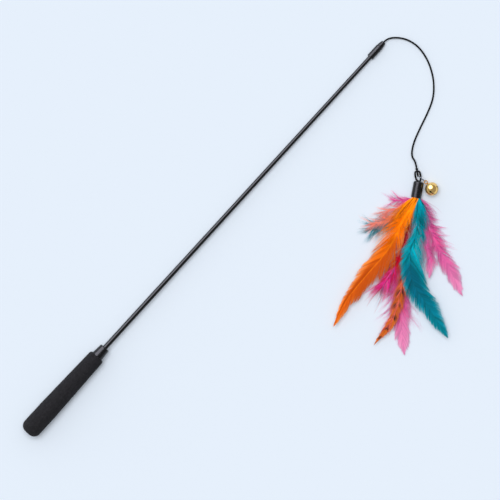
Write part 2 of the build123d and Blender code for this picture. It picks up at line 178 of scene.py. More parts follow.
table_mesh = bmesh.new()
bmesh.ops.create_grid(table_mesh, x_segments=1, y_segments=1, size=TABLE_SIZE / 2)
bmesh.ops.translate(table_mesh, vec=PHOTO_CENTRE - Vector((0, 0, TABLE_DROP)), verts=table_mesh.verts)
table_data = bpy.data.meshes.new("table")
table_mesh.to_mesh(table_data)
table_mesh.free()
table_paper = start_material(
    "table_paper", Base_Color=TABLE_COLOUR, Roughness=1.0, Specular_IOR_Level=0.0
)[0]
table_data.materials.append(table_paper)
link_object("table", table_data)
print("table", TABLE_SIZE, "m wide")

# %% World
FILL_LIGHT = 0.42
FILL_SLANT = 0.8
SKY_DARK = 0.26
HORIZON_TOP = 0.3
SOFTBOX_FROM_ZENITH = math.radians(39)
SOFTBOX_REACH = math.radians(27)
SOFTBOX_EDGE = math.radians(8)
SOFTBOX_LIGHT = (5.0, 5.0, 5.7, 1.0)
UPPER_LEFT = Vector((-0.6, 0.8, 0))

to_upper_left = Matrix.Rotation(PHOTO_TURN, 3, "Z") @ UPPER_LEFT


def from_zenith(angle):
    """The direction that stands at an angle from the zenith, towards the picture's upper left."""
    return to_upper_left * math.sin(angle) + Vector((0, 0, math.cos(angle)))


world = bpy.data.worlds.new("studio")
bpy.context.scene.world = world
world.use_nodes = True
sky = world.node_tree
direction = add_node(sky, "ShaderNodeTexCoord").outputs["Generated"]


def sky_share(towards):
    """How far a ray of the sky points towards a direction, as the cosine between them."""
    node = add_node(sky, "ShaderNodeVectorMath", operation="DOT_PRODUCT")
    sky.links.new(direction, node.inputs[0])
    node.inputs[1].default_value = towards
    return node.outputs["Value"]


def grey(level):
    """A colourless light of one level."""
    return (level, level, level, 1)


to_zenith = ramp(sky, sky_share((0, 0, 1)), 0.0, HORIZON_TOP)
ceiling = blend_colours(sky, to_zenith, TABLE_COLOUR, grey(SKY_DARK))
box_share = sky_share(from_zenith(SOFTBOX_FROM_ZENITH))
in_box = ramp(sky, box_share, math.cos(SOFTBOX_REACH + SOFTBOX_EDGE), math.cos(SOFTBOX_REACH))
mirrored = blend_colours(sky, in_box, ceiling, SOFTBOX_LIGHT)
slant = times(sky, sky_share(to_upper_left), FILL_SLANT)
fill = times(sky, math_node(sky, "ADD", slant, 1.0), FILL_LIGHT)
paths = add_node(sky, "ShaderNodeLightPath").outputs
seen = math_node(sky, "MAXIMUM", paths["Is Camera Ray"], paths["Is Glossy Ray"])
seen = math_node(sky, "MAXIMUM", seen, paths["Is Transmission Ray"])
sky.links.new(blend_colours(sky, seen, fill, mirrored), sky.nodes["Background"].inputs["Color"])
print("soft box", round(math.degrees(SOFTBOX_FROM_ZENITH)), "degrees from the zenith")

# %% Lamp
SUN_FROM_ZENITH = math.radians(10)
SUN_WIDTH = math.radians(42)
SUN_HEIGHT = 2.0

sun_data = bpy.data.lights.new("overhead", "SUN")
sun_data.angle = SUN_WIDTH
sun_data.energy = (1 - FILL_LIGHT) * math.pi / math.cos(SUN_FROM_ZENITH)
sun = link_object("overhead", sun_data)
sun.visible_glossy = False
to_sun = from_zenith(SUN_FROM_ZENITH)
sun.location = PHOTO_CENTRE + to_sun * SUN_HEIGHT
sun.rotation_euler = to_sun.to_track_quat("Z", "Y").to_euler()
bpy.context.scene.view_settings.view_transform = "Standard"
print("sun", round(sun_data.energy, 2), "W per square metre from", [round(c, 2) for c in to_sun])

# %% [markdown]
# ## Shared grain
# Moulded plastic, plated metal and foam all have a fine unevenness that breaks up a reflection. It could be
# a separate noise in every material. One node group does it for all of them: it gives a height for a Bump
# node and a mask for roughness or tone, and each material places it with its own scale.

# %% Grain group
def new_group(name, inputs, outputs):
    """A shader node group with named sockets. Returns the group, its input node and its output node."""
    group = bpy.data.node_groups.new(name, "ShaderNodeTree")
    for label, kind, value in inputs:
        socket = group.interface.new_socket(label, in_out="INPUT", socket_type=kind)
        socket.default_value = value
    for label, kind in outputs:
        group.interface.new_socket(label, in_out="OUTPUT", socket_type=kind)
    return group, group.nodes.new("NodeGroupInput"), group.nodes.new("NodeGroupOutput")


FLOAT = "NodeSocketFloat"
COLOUR = "NodeSocketColor"
GRAIN_DETAIL = 4.0
GRAIN_LOW = 0.3
GRAIN_HIGH = 0.7

grain, grain_in, grain_out = new_group(
    "fine_grain",
    [("Scale", FLOAT, 800.0), ("Low", FLOAT, 0.0), ("High", FLOAT, 1.0)],
    [("Height", FLOAT), ("Value", FLOAT)],
)
grain_place = add_node(grain, "ShaderNodeTexCoord")
grain_noise = add_node(grain, "ShaderNodeTexNoise")
set_inputs(grain_noise, Detail=GRAIN_DETAIL)
grain.links.new(grain_place.outputs["Object"], grain_noise.inputs["Vector"])
grain.links.new(grain_in.outputs["Scale"], grain_noise.inputs["Scale"])
grain_range = add_node(grain, "ShaderNodeMapRange")
set_inputs(grain_range, From_Min=GRAIN_LOW, From_Max=GRAIN_HIGH)
grain.links.new(grain_noise.outputs["Fac"], grain_range.inputs["Value"])
grain.links.new(grain_in.outputs["Low"], grain_range.inputs["To Min"])
grain.links.new(grain_in.outputs["High"], grain_range.inputs["To Max"])
grain.links.new(grain_noise.outputs["Fac"], grain_out.inputs["Height"])
grain.links.new(grain_range.outputs["Result"], grain_out.inputs["Value"])


def place_group(tree, group, **values):
    """The group as a node of a material, with this material's values."""
    node = add_node(tree, "ShaderNodeGroup", node_tree=group)
    set_inputs(node, **values)
    return node


def bump_from(tree, shader, height, strength, distance):
    """Feeds a height to the shader's normal."""
    bump = add_node(tree, "ShaderNodeBump")
    set_inputs(bump, Strength=strength, Distance=distance)
    tree.links.new(height, bump.inputs["Height"])
    tree.links.new(bump.outputs["Normal"], shader.inputs["Normal"])


print("group", grain.name)

# %% [markdown]
# ## Hard finishes
# The collar, the tip and the cap are satin moulded plastic, which spreads the lamp into a broad soft strip.
# The rod is coated and glossy, so its strip has sharp edges. The bell is polished and plated, with the slight
# waviness of pressed sheet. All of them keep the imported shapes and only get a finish. Each finish mixes two
# close tones by the grain and lets the grain vary its roughness, because one flat value looks like a sample.

# %% Finishes for plastic and metal
GLOSS_COARSENESS = 3


def hard_finish(name, dark, light, rough, grain_scale, bump=0.1, depth=0.02 * MM, **sockets):
    """A finish of two close tones, with its roughness and a slight bump from the grain."""
    material, tree, shader = start_material(name, **sockets)
    tones = place_group(tree, grain, Scale=grain_scale)
    tree.links.new(blend_colours(tree, tones.outputs["Value"], dark, light), shader.inputs["Base Color"])
    gloss = place_group(tree, grain, Scale=grain_scale / GLOSS_COARSENESS, Low=rough[0], High=rough[1])
    tree.links.new(gloss.outputs["Value"], shader.inputs["Roughness"])
    bump_from(tree, shader, tones.outputs["Height"], bump, depth)
    return material


satin_plastic = hard_finish(
    "satin_plastic", srgb(6, 6, 8), srgb(11, 11, 14), (0.25, 0.31), 1500, bump=0.012, Specular_IOR_Level=0.42
)
rod_gloss = hard_finish(
    "rod_gloss", srgb(2, 2, 3), srgb(5, 5, 6), (0.04, 0.08), 600, bump=0.01, Specular_IOR_Level=0.42
)
core_plastic = hard_finish("core_plastic", srgb(190, 188, 182), srgb(200, 198, 192), (0.45, 0.6), 900)
clear_resin = hard_finish("clear_resin", srgb(176, 132, 66), srgb(200, 158, 92), (0.15, 0.3), 500)
bell_gold = hard_finish(
    "bell_gold", srgb(246, 196, 108), srgb(252, 214, 138), (0.14, 0.22), 260,
    bump=0.05, depth=0.1 * MM, Metallic=0.84,
)
bell_wire = hard_finish(
    "bell_wire", srgb(170, 118, 48), srgb(190, 138, 66), (0.3, 0.4), 260, bump=0.02, Metallic=1.0
)
bright_nickel = hard_finish(
    "bright_nickel", srgb(150, 152, 160), srgb(176, 178, 186), (0.4, 0.5), 700, Metallic=1.0
)
pellet_steel = hard_finish(
    "pellet_steel", srgb(150, 150, 152), srgb(176, 176, 180), (0.25, 0.4), 700, Metallic=1.0
)
print("satin plastic has", len(satin_plastic.node_tree.nodes), "nodes, as the other hard finishes do")

# %% The bell's inside, painted in shade
# Painted shade: the bell's inner surface is painted dark, as the shade inside a closed bell, so its holes and
# slots show dark.
BELL_INSIDE = 6.58 * MM
BELL_FADE = 0.1 * MM
BELL_PAINTED_SHADE = srgb(26, 18, 8)

bell_tree = bell_gold.node_tree
bell_shader = bell_tree.nodes["Principled BSDF"]
bell_place = add_node(bell_tree, "ShaderNodeTexCoord")
bell_reach = add_node(bell_tree, "ShaderNodeVectorMath", operation="DISTANCE")
bell_tree.links.new(bell_place.outputs["Object"], bell_reach.inputs[0])
bell_reach.inputs[1].default_value = joints["pellet_roll"]["pos_m"]
bell_out_of_shade = ramp(
    bell_tree, bell_reach.outputs["Value"], BELL_INSIDE - BELL_FADE, BELL_INSIDE + BELL_FADE, kind="LINEAR"
)
bell_plating = bell_shader.inputs["Base Color"].links[0].from_socket
bell_with_painted_shade = blend_colours(bell_tree, bell_out_of_shade, BELL_PAINTED_SHADE, bell_plating)
bell_tree.links.new(bell_with_painted_shade, bell_shader.inputs["Base Color"])
print("bell dark within", round(BELL_INSIDE / MM, 2), "mm of its centre")

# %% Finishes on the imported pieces
finishes = {
    "collar": satin_plastic,
    "tip_sleeve": satin_plastic,
    "tip_nose": satin_plastic,
    "lure_cap": satin_plastic,
    "rod": rod_gloss,
    "core_tube": core_plastic,
    "core_plug": core_plastic,
    "glue_plug": clear_resin,
    "jump_ring": bright_nickel,
    "bell_upper_shell": bell_gold,
    "bell_lower_shell": bell_gold,
    "bell_eye": bell_wire,
    "bell_pellet": pellet_steel,
}
for node, finish in finishes.items():
    frame["nodes"][node].data.materials.clear()
    frame["nodes"][node].data.materials.append(finish)
print("finished", len(finishes), "hard pieces")

# %% [markdown]
# ## Lines and tubes
# Cords, loops, knots and feather shafts are all round things along a line. A curve object with a bevel would
# do, but a mesh can also carry its own pattern. So a spline gives the line, and a circle is extruded from
# point to point along it, turning as little as it can. Each vertex keeps where it stands around and along
# the tube, which the braid pattern reads later.

# %% Lines
NURBS_ORDER = 3


def spline_line(points, kind, steps):
    """Points read from a smooth spline: a NURBS near its control points, or a Bezier through them."""
    curve = bpy.data.curves.new("line", "CURVE")
    curve.dimensions = "3D"
    curve.resolution_u = steps
    spline = curve.splines.new(kind)
    if kind == "NURBS":
        spline.points.add(len(points) - 1)
        for point, place in zip(spline.points, points):
            point.co = (*place, 1)
        spline.order_u = NURBS_ORDER
        spline.use_endpoint_u = True
    else:
        spline.bezier_points.add(len(points) - 1)
        for point, place in zip(spline.bezier_points, points):
            point.co = place
            point.handle_left_type = "AUTO"
            point.handle_right_type = "AUTO"
    holder = bpy.data.objects.new("line", curve)
    line_mesh = bpy.data.meshes.new_from_object(holder)
    line = np.array([vertex.co[:] for vertex in line_mesh.vertices])
    bpy.data.meshes.remove(line_mesh)
    bpy.data.objects.remove(holder)
    bpy.data.curves.remove(curve)
    return line


def line_length(line):
    """The way along a line of points."""
    return float(np.linalg.norm(np.diff(line, axis=0), axis=1).sum())


print("splines for limp cords are of order", NURBS_ORDER)

# %% Tubes
def add_tube(mesh, line, radii, sides):
    """Adds a capped tube along a line to a bmesh, as one extruded ring after another."""
    around = mesh.verts.layers.float_vector.get("around") or mesh.verts.layers.float_vector.new("around")
    ahead = [Vector(step).normalized() for step in np.gradient(np.asarray(line), axis=0)]
    side = ahead[0].orthogonal().normalized()
    ring = bmesh.ops.create_circle(mesh, segments=sides, radius=1.0)["verts"]
    edges = list({edge for vertex in ring for edge in vertex.link_edges})
    ends = [edges]
    before = Matrix.Identity(4)
    travelled = 0.0
    for step, (centre, tangent, radius) in enumerate(zip(line, ahead, radii)):
        side = (side - tangent * side.dot(tangent)).normalized()
        other = tangent.cross(side)
        turn = Matrix((side * radius, other * radius, tangent * radius)).transposed().to_4x4()
        now = Matrix.Translation(centre) @ turn
        if step:
            made = bmesh.ops.extrude_edge_only(mesh, edges=edges)["geom"]
            ring = [item for item in made if isinstance(item, bmesh.types.BMVert)]
            fresh = set(ring)
            edges = [item for item in made if isinstance(item, bmesh.types.BMEdge)]
            edges = [edge for edge in edges if fresh.issuperset(edge.verts)]
            travelled += float(np.linalg.norm(np.subtract(line[step], line[step - 1])))
        bmesh.ops.transform(mesh, matrix=now @ before.inverted(), verts=ring)
        to_ring = now.inverted()
        for vertex in ring:
            spot = to_ring @ vertex.co
            vertex[around] = (spot.x, spot.y, travelled)
        before = now
    ends.append(edges)
    for end in ends:
        bmesh.ops.contextual_create(mesh, geom=end)


test_line = [(0, 0, 0), (0, 0, 1), (0, 1, 1)]
test_tube = bmesh.new()
add_tube(test_tube, test_line, radii=[0.1] * len(test_line), sides=8)
print("a test tube of", len(test_line), "rings has", len(test_tube.faces), "faces")
test_tube.free()

# %% Pieces
def stand_in(name, data, node, body=None):
    """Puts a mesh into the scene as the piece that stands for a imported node, and lets it ride on a body."""
    piece = link_object(name, data)
    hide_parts(node)
    if body:
        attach(piece, body)
    print("made", name, "with", len(data.polygons), "faces")
    return piece


def make_piece(mesh, name, finish, node, body=None):
    """Turns a bmesh into a smooth piece with its finish."""
    bmesh.ops.recalc_face_normals(mesh, faces=mesh.faces)
    data = bpy.data.meshes.new(name)
    mesh.to_mesh(data)
    mesh.free()
    data.shade_smooth()
    data.materials.append(finish)
    return stand_in(name, data, node, body)


# %% [markdown]
# ## Cord
# The cord is a thin black braid. It leaves the nose straight, drops to the table, and lies there in one long
# bow until it climbs to the lure's cap. The route's points are the control points of a NURBS spline, which
# gives the easy curve of something limp. The braid is too fine to model as strands at this size, so it is a
# bump of two crossed sets of spirals, and the tube is a little thicker than the drawn cord, because the
# braid's ridges stand proud of it.

# %% Cord finish
BRAID_STRANDS = 6
BRAID_PITCH = 4.0 * MM

black_cord, cord_tree, cord_shader = start_material("black_cord", Specular_IOR_Level=0.12)
cord_place = add_node(cord_tree, "ShaderNodeAttribute", attribute_name="around")
cord_split = add_node(cord_tree, "ShaderNodeSeparateXYZ")
cord_tree.links.new(cord_place.outputs["Vector"], cord_split.inputs[0])
cord_angle = math_node(cord_tree, "ARCTAN2", cord_split.outputs["Y"], cord_split.outputs["X"])
cord_turns = times(cord_tree, cord_angle, BRAID_STRANDS)
cord_run = times(cord_tree, cord_split.outputs["Z"], 2 * math.pi * BRAID_STRANDS / BRAID_PITCH)
left_lay = math_node(cord_tree, "SINE", math_node(cord_tree, "ADD", cord_turns, cord_run))
right_lay = math_node(cord_tree, "SINE", math_node(cord_tree, "SUBTRACT", cord_turns, cord_run))
braid = times(cord_tree, left_lay, right_lay)
braid_mask = math_node(cord_tree, "MULTIPLY_ADD", braid, 0.5, 0.5)
cord_tone = blend_colours(cord_tree, braid_mask, srgb(2, 2, 3), srgb(7, 7, 8))
cord_tree.links.new(cord_tone, cord_shader.inputs["Base Color"])
cord_gloss = place_group(cord_tree, grain, Scale=1200.0, Low=0.5, High=0.7)
cord_tree.links.new(cord_gloss.outputs["Value"], cord_shader.inputs["Roughness"])
bump_from(cord_tree, cord_shader, braid_mask, strength=0.2, distance=0.06 * MM)
print("cord finish with", len(cord_tree.nodes), "nodes")

# %% Cord along its route
CORD_RADIUS = 0.75 * MM
CORD_PROUD = 0.88 * MM
CORD_SIDES = 12
CORD_STEPS = 10
CORD_ROUTE = [
    (0.48351, 0.0, 0.00337),
    (0.48770, -0.0001, 0.00331),
    (0.49460, -0.0054, 0.0030),
    (0.50070, -0.0148, 0.0025),
    (0.50331, -0.0272, 0.0018),
    (0.50081, -0.0409, 0.0012),
    (0.49491, -0.0538, 0.00095),
    (0.48601, -0.0655, 0.00095),
    (0.47421, -0.0749, 0.00095),
    (0.45901, -0.0805, 0.00095),
    (0.44291, -0.0850, 0.00095),
    (0.42731, -0.0903, 0.0015),
    (0.41731, -0.0972, 0.0032),
    (0.41637, -0.10335, 0.00523),
    (0.41271, -0.1081, 0.00523),
]

cord_line = spline_line(CORD_ROUTE, "NURBS", CORD_STEPS)
cord_length = line_length(cord_line)
cord_mesh = bmesh.new()
add_tube(cord_mesh, cord_line, [CORD_PROUD] * len(cord_line), CORD_SIDES)
cord = make_piece(cord_mesh, "cord_braid", black_cord, "cord")
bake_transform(cord)
print("cord length", round(cord_length, 4), "m")

# %% [markdown]
# ## Loops and knots
# The cord ends in a knotted loop that stands upright, and the lure's own loop lies flat through it. A knot
# could be a ball, but a tied knot shows its turns. So each knot is a short spiral of the same cord wound
# around the legs, and the loops are tubes along their own smooth splines.

# %% Link frame, loops and knots
KNOT_RADIUS = 1.7 * MM
TIGHT_KNOT = 1.4 * MM
KNOT_STUB = 2.2 * MM
KNOT_TURNS = 3
KNOT_STEPS = 60
KNOT_BELLY = 0.25
LOOP_STEPS = 8

along_link = Vector(joints["ring_swing"]["axis"]).normalized()
link_knot = Vector(CORD_ROUTE[-1]) + along_link * KNOT_STUB
across_link = Vector((0, 0, 1)).cross(along_link)
link = Matrix.Translation(link_knot) @ Matrix((along_link, across_link, (0, 0, 1))).transposed().to_4x4()


def placed(frame_matrix, points):
    """Points in millimetres of a frame, as places in metres."""
    return [tuple(frame_matrix @ (Vector(point) * MM)) for point in points]


def add_knot(mesh, frame_matrix, radius):
    """Adds a knot to a bmesh: turns of cord wound side by side around the frame's X axis."""
    winding = radius - CORD_RADIUS
    length = 2 * radius - 2 * CORD_RADIUS
    turns = []
    for step in range(KNOT_STEPS + 1):
        share = step / KNOT_STEPS
        angle = 2 * math.pi * KNOT_TURNS * share
        belly = winding * (1 - KNOT_BELLY + KNOT_BELLY * math.sin(math.pi * share))
        spot = Vector((length * (share - 0.5), belly * math.cos(angle), belly * math.sin(angle)))
        turns.append(tuple(frame_matrix @ spot))
    add_tube(mesh, turns, [CORD_RADIUS] * len(turns), CORD_SIDES)


print("end knot at", [round(c / MM, 1) for c in link_knot], "mm")

# %% The cord's end loop
END_LOOP = [
    (-2.2, 0, 0),
    (-1.0, 0, 0.4),
    (0.6, 0, 0.85),
    (2.9, 0, 1.95),
    (5.4, 0, 2.3),
    (7.0, 0, 1.7),
    (7.0, 0, -1.7),
    (5.4, 0, -2.3),
    (2.9, 0, -1.95),
    (0.6, 0, -0.85),
    (-1.0, 0, -0.4),
]

loop_line = spline_line(placed(link, END_LOOP), "NURBS", LOOP_STEPS)
loop_mesh = bmesh.new()
add_tube(loop_mesh, loop_line, [CORD_RADIUS] * len(loop_line), CORD_SIDES)
add_knot(loop_mesh, link, TIGHT_KNOT)
end_loop = make_piece(loop_mesh, "cord_end_loop", black_cord, "cord_loop", "cord")

# %% The lure's loop and the stopper knot
CAP_AT = 12.55
CAP_LEAN = math.radians(-20.4)
CAP_KNOT_AT = 4.5
CAP_LENGTH = 16.5
LEG = 0.85

cap_top = link @ Matrix.Translation((CAP_AT * MM, 0, 0)) @ Matrix.Rotation(CAP_LEAN, 4, "Z")
to_cap = link.inverted() @ cap_top


def in_link(x, y):
    """A point of the cap's own frame, in millimetres of the link frame."""
    return tuple((to_cap @ (Vector((x, y, 0)) * MM)) / MM)


LURE_LOOP = [
    in_link(CAP_KNOT_AT, LEG),
    in_link(1.5, LEG),
    in_link(-0.6, LEG),
    (10.4, 2.3, 0),
    (7.0, 2.7, 0),
    (4.4, 2.6, 0),
    (2.2, 2.0, 0),
    (2.2, -2.0, 0),
    (4.4, -2.6, 0),
    (7.0, -2.7, 0),
    (10.4, -2.3, 0),
    in_link(-0.6, -LEG),
    in_link(1.5, -LEG),
    in_link(CAP_KNOT_AT, -LEG),
]

lure_line = spline_line(placed(link, LURE_LOOP), "NURBS", LOOP_STEPS)
lure_mesh = bmesh.new()
add_tube(lure_mesh, lure_line, [CORD_PROUD] * len(lure_line), CORD_SIDES)
make_piece(lure_mesh, "lure_cord_loop", black_cord, "lure_loop", "lure")

exit_place = Vector(CORD_ROUTE[0])
wand_axis = -Vector(joints["tip_turn"]["axis"]).normalized()
stopper_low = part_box("stopper_knot")[0]
stopper_place = exit_place + wand_axis * (stopper_low.x + KNOT_RADIUS - exit_place.x)
wand_up = wand_axis.cross(Vector((0, 1, 0)))
wand_turn = Matrix((wand_axis, (0, 1, 0), wand_up)).transposed().to_4x4()
stopper_mesh = bmesh.new()
add_tube(stopper_mesh, [tuple(stopper_place), tuple(exit_place)], [CORD_RADIUS] * 2, CORD_SIDES)
add_knot(stopper_mesh, Matrix.Translation(stopper_place) @ wand_turn, KNOT_RADIUS)
make_piece(stopper_mesh, "tip_stopper_knot", black_cord, "stopper_knot", "tip")

# %% [markdown]
# ## Foam grip
# The grip is a sleeve of fine black foam with a domed butt and a gently waisted front. A smooth tube would
# look like hard rubber. The profile is spun around the wand's axis, and each vertex is then moved a little by
# a slow noise, as cut foam is never quite true. The pores are finer than the mesh, so a bump gives them. The
# foam is pressed flat where it rests on the table.

# %% Foam finish
PORE_SCALE = 2600.0
FOAM_BLOTCH = 0.6

grip_foam, foam_tree, foam_shader = start_material("grip_foam", Specular_IOR_Level=0.25)
foam_place = add_node(foam_tree, "ShaderNodeTexCoord")
pores = add_node(foam_tree, "ShaderNodeTexVoronoi")
set_inputs(pores, Scale=PORE_SCALE)
foam_tree.links.new(foam_place.outputs["Object"], pores.inputs["Vector"])
foam_grain = place_group(foam_tree, grain, Scale=420.0)
foam_tone = blend_colours(foam_tree, pores.outputs["Distance"], srgb(21, 21, 23), srgb(48, 47, 50))
blotches = times(foam_tree, foam_grain.outputs["Value"], FOAM_BLOTCH)
foam_tone = blend_colours(foam_tree, blotches, foam_tone, srgb(12, 12, 14))
foam_tree.links.new(foam_tone, foam_shader.inputs["Base Color"])
foam_rough = place_group(foam_tree, grain, Scale=1500.0, Low=0.8, High=0.95)
foam_tree.links.new(foam_rough.outputs["Value"], foam_shader.inputs["Roughness"])
bump_from(foam_tree, foam_shader, pores.outputs["Distance"], strength=0.4, distance=0.15 * MM)
print("foam finish with", len(foam_tree.nodes), "nodes")

# %% Foam sleeve
GRIP_RADIUS = 10.0
GRIP_LENGTH = 103.5
BUTT_ROUND = 7.3
BUTT_WALL = 6.0
PARALLEL_END = 30.0
FRONT_RADIUS = 8.3
FRONT_ROUND = 2.4
BORE_RADIUS = 5.5
GRIP_STEPS = 128
TAPER_POINTS = 36
PARALLEL_POINTS = 12
ROUND_POINTS = 10
FOAM_UNEVEN = 0.06 * MM
FOAM_LUMP = 140.0
BORE_MARGIN = 0.5
MERGE_REACH = 0.001 * MM

grip_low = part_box("foam_grip")[0]
turn_place = Vector(joints["tip_turn"]["pos_m"])
butt = turn_place - wand_axis * ((turn_place.x - grip_low.x) / wand_axis.x)


def arc(centre_x, centre_r, radius, start, end):
    """Points of an arc of the grip's profile, by angles from the axis, in degrees."""
    angles = np.radians(np.linspace(start, end, ROUND_POINTS))
    return [(centre_x + radius * math.cos(a), centre_r + radius * math.sin(a)) for a in angles]


profile = [(0, 0)]
profile += arc(BUTT_ROUND, GRIP_RADIUS - BUTT_ROUND, BUTT_ROUND, 180, 90)
profile += [(x, GRIP_RADIUS) for x in np.linspace(BUTT_ROUND, PARALLEL_END, PARALLEL_POINTS)[1:]]
taper = np.linspace(0, 1, TAPER_POINTS)[1:-1]
front = GRIP_LENGTH - FRONT_ROUND
profile += [
    (PARALLEL_END + (front - PARALLEL_END) * s, GRIP_RADIUS + (FRONT_RADIUS - GRIP_RADIUS) * s) for s in taper
]
profile += arc(front, FRONT_RADIUS - FRONT_ROUND, FRONT_ROUND, 90, 0)
profile += [(GRIP_LENGTH, BORE_RADIUS), (BUTT_WALL, BORE_RADIUS), (BUTT_WALL, 0)]

grip_mesh = bmesh.new()
grip_place = Matrix.Translation(butt) @ wand_turn
outline = [grip_mesh.verts.new(grip_place @ Vector((x * MM, 0, r * MM))) for x, r in profile]
outline_edges = [grip_mesh.edges.new(pair) for pair in zip(outline, outline[1:])]
bmesh.ops.spin(
    grip_mesh,
    geom=outline + outline_edges,
    cent=butt,
    axis=wand_axis,
    angle=2 * math.pi,
    steps=GRIP_STEPS,
    use_merge=True,
)
bmesh.ops.remove_doubles(grip_mesh, verts=grip_mesh.verts, dist=MERGE_REACH)
for vertex in grip_mesh.verts:
    out = vertex.co - butt - wand_axis * (vertex.co - butt).dot(wand_axis)
    if out.length > (BORE_RADIUS + BORE_MARGIN) * MM:
        vertex.co += out.normalized() * FOAM_UNEVEN * noise.noise(vertex.co * FOAM_LUMP)
    vertex.co.z = max(vertex.co.z, 0.0)
grip = make_piece(grip_mesh, "foam_sleeve", grip_foam, "foam_grip", "wand")

# %% [markdown]
# ## Feathers
# A feather is a shaft with hundreds of barbs on each side. A leaf-shaped sheet with a drawn-on pattern looks
# like paper at the edge, where a real vane splits into locks and hairs. So every barb is a thin strip of its
# own. One strip is made from a cone and cut across a few times, and numpy lays copies of it along the shaft:
# each leaves the shaft at an angle, hooks towards the tip, and leans on its neighbours in locks. Loose down
# near the quill is the same strip, longer, thinner and wavier.

# %% One barb
BARB_CUTS = 6
CELL_MARGIN = 0.05

barb_mesh = bmesh.new()
bmesh.ops.create_cone(barb_mesh, cap_ends=True, segments=4, radius1=1.0, radius2=1.0, depth=1.0)
long_edges = [edge for edge in barb_mesh.edges if abs(edge.verts[0].co.z - edge.verts[1].co.z) > 0.5]
bmesh.ops.subdivide_edges(barb_mesh, edges=long_edges, cuts=BARB_CUTS)
barb_mesh.verts.index_update()
BARB_POINTS = np.array([(v.co.x, v.co.y, v.co.z + 0.5) for v in barb_mesh.verts])
BARB_FACES = np.array([[v.index for v in face.verts] for face in barb_mesh.faces])
barb_mesh.free()


def barb_cell():
    """Where each corner of the strip's faces lies in a square of its own on a flat map, sides in a row."""
    cell = np.zeros((*BARB_FACES.shape, 2))
    quarter = np.degrees(np.arctan2(BARB_POINTS[:, 1], BARB_POINTS[:, 0])) / 90
    for index, face in enumerate(BARB_FACES):
        turns = quarter[face] - quarter[face].min()
        wraps = turns.max() > 1.5
        side = np.where(wraps & (turns < 0.5), turns + 4, turns)
        lowest = side.min()
        cell[index, :, 0] = ((quarter[face].min() + lowest) % 4 + side - lowest) / 4
        cell[index, :, 1] = BARB_POINTS[face, 2]
    return cell


BARB_CELL = np.clip(barb_cell(), 0, 1) * (1 - 2 * CELL_MARGIN) + CELL_MARGIN
print("barb", len(BARB_POINTS), "points", len(BARB_FACES), "faces")

# %% [markdown]
# The lure has a frame of its own: its origin is the middle of the cap's mouth, X runs towards the feather
# tips and Y across. Every feather lies in its own layer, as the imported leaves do, fanned apart in the cap
# and settling towards the table further out.

# %% Lure frame and layers
TOP_LAYER = 11
LAYER_PITCH = 0.55
LAYER_STATIONS = (2.0, 60.0, 170.0)
LOWEST_HEIGHTS = (0.9, 0.9)
HIGHEST_HEIGHTS = (9.6, 8.6)
TABLE_CLEAR = 0.25
QUILL_INSIDE = 4.0
SHAFT_SAMPLES = 240
SHAFT_SMOOTHNESS = 24

FeatherShaft = namedtuple("FeatherShaft", "line ahead aside length")

mouth = cap_top @ Vector((CAP_LENGTH * MM, 0, 0))
cap_height = mouth.z / MM
lure_x = (cap_top.to_3x3() @ Vector((1, 0, 0))).normalized()
lure_y = Vector((0, 0, 1)).cross(lure_x)
LURE_AXES = np.array([lure_x, lure_y, (0, 0, 1)]) * MM
LURE_ORIGIN = np.array([mouth.x, mouth.y, 0])


def layer_height(layer, along):
    """How high a layer runs over the table, in millimetres, at a distance from the cap's mouth."""
    share = layer / TOP_LAYER
    root = cap_height + (layer - TOP_LAYER / 2) * LAYER_PITCH
    rest = [low + (high - low) * share for low, high in zip(LOWEST_HEIGHTS, HIGHEST_HEIGHTS)]
    return float(np.interp(along, LAYER_STATIONS, (root, *rest)))


def shaft_line(layer, across, points):
    """A feather's shaft in the lure frame: even points, directions ahead and aside, and its length."""
    plan = [(-QUILL_INSIDE, across), (1.0, across), *points]
    line = spline_line([(x, y, layer_height(layer, x)) for x, y in plan], "BEZIER", SHAFT_SMOOTHNESS)
    run = np.concatenate([[0], np.cumsum(np.linalg.norm(np.diff(line, axis=0), axis=1))])
    even = np.linspace(0, run[-1], SHAFT_SAMPLES)
    line = np.stack([np.interp(even, run, line[:, axis]) for axis in range(3)], axis=1)
    ahead = np.gradient(line, axis=0)
    ahead /= np.linalg.norm(ahead, axis=1, keepdims=True)
    aside = np.cross((0, 0, 1), ahead)
    aside /= np.linalg.norm(aside, axis=1, keepdims=True)
    return FeatherShaft(line, ahead, aside, run[-1])


print("lure mouth", [round(c / MM, 2) for c in mouth], "mm")

# %% [markdown]
# Each strand is worked out in one go for all strands of a feather. The angle between strand and shaft falls
# along the strand, so it curves towards the tip. Rise and droop lift its middle, a wave makes it kink, and a
# pull draws the ends of a lock together, which leaves the narrow splits that every handled feather has.

# %% Strands
LEAST_HOOK = 0.02
KINK_WAVES = 1.6
KINK_SHIFT = 7
STRAND_END = 0.12
TABLE_THICKNESS = 0.05

StrandGroup = namedtuple("StrandGroup", "places share side luck kind")


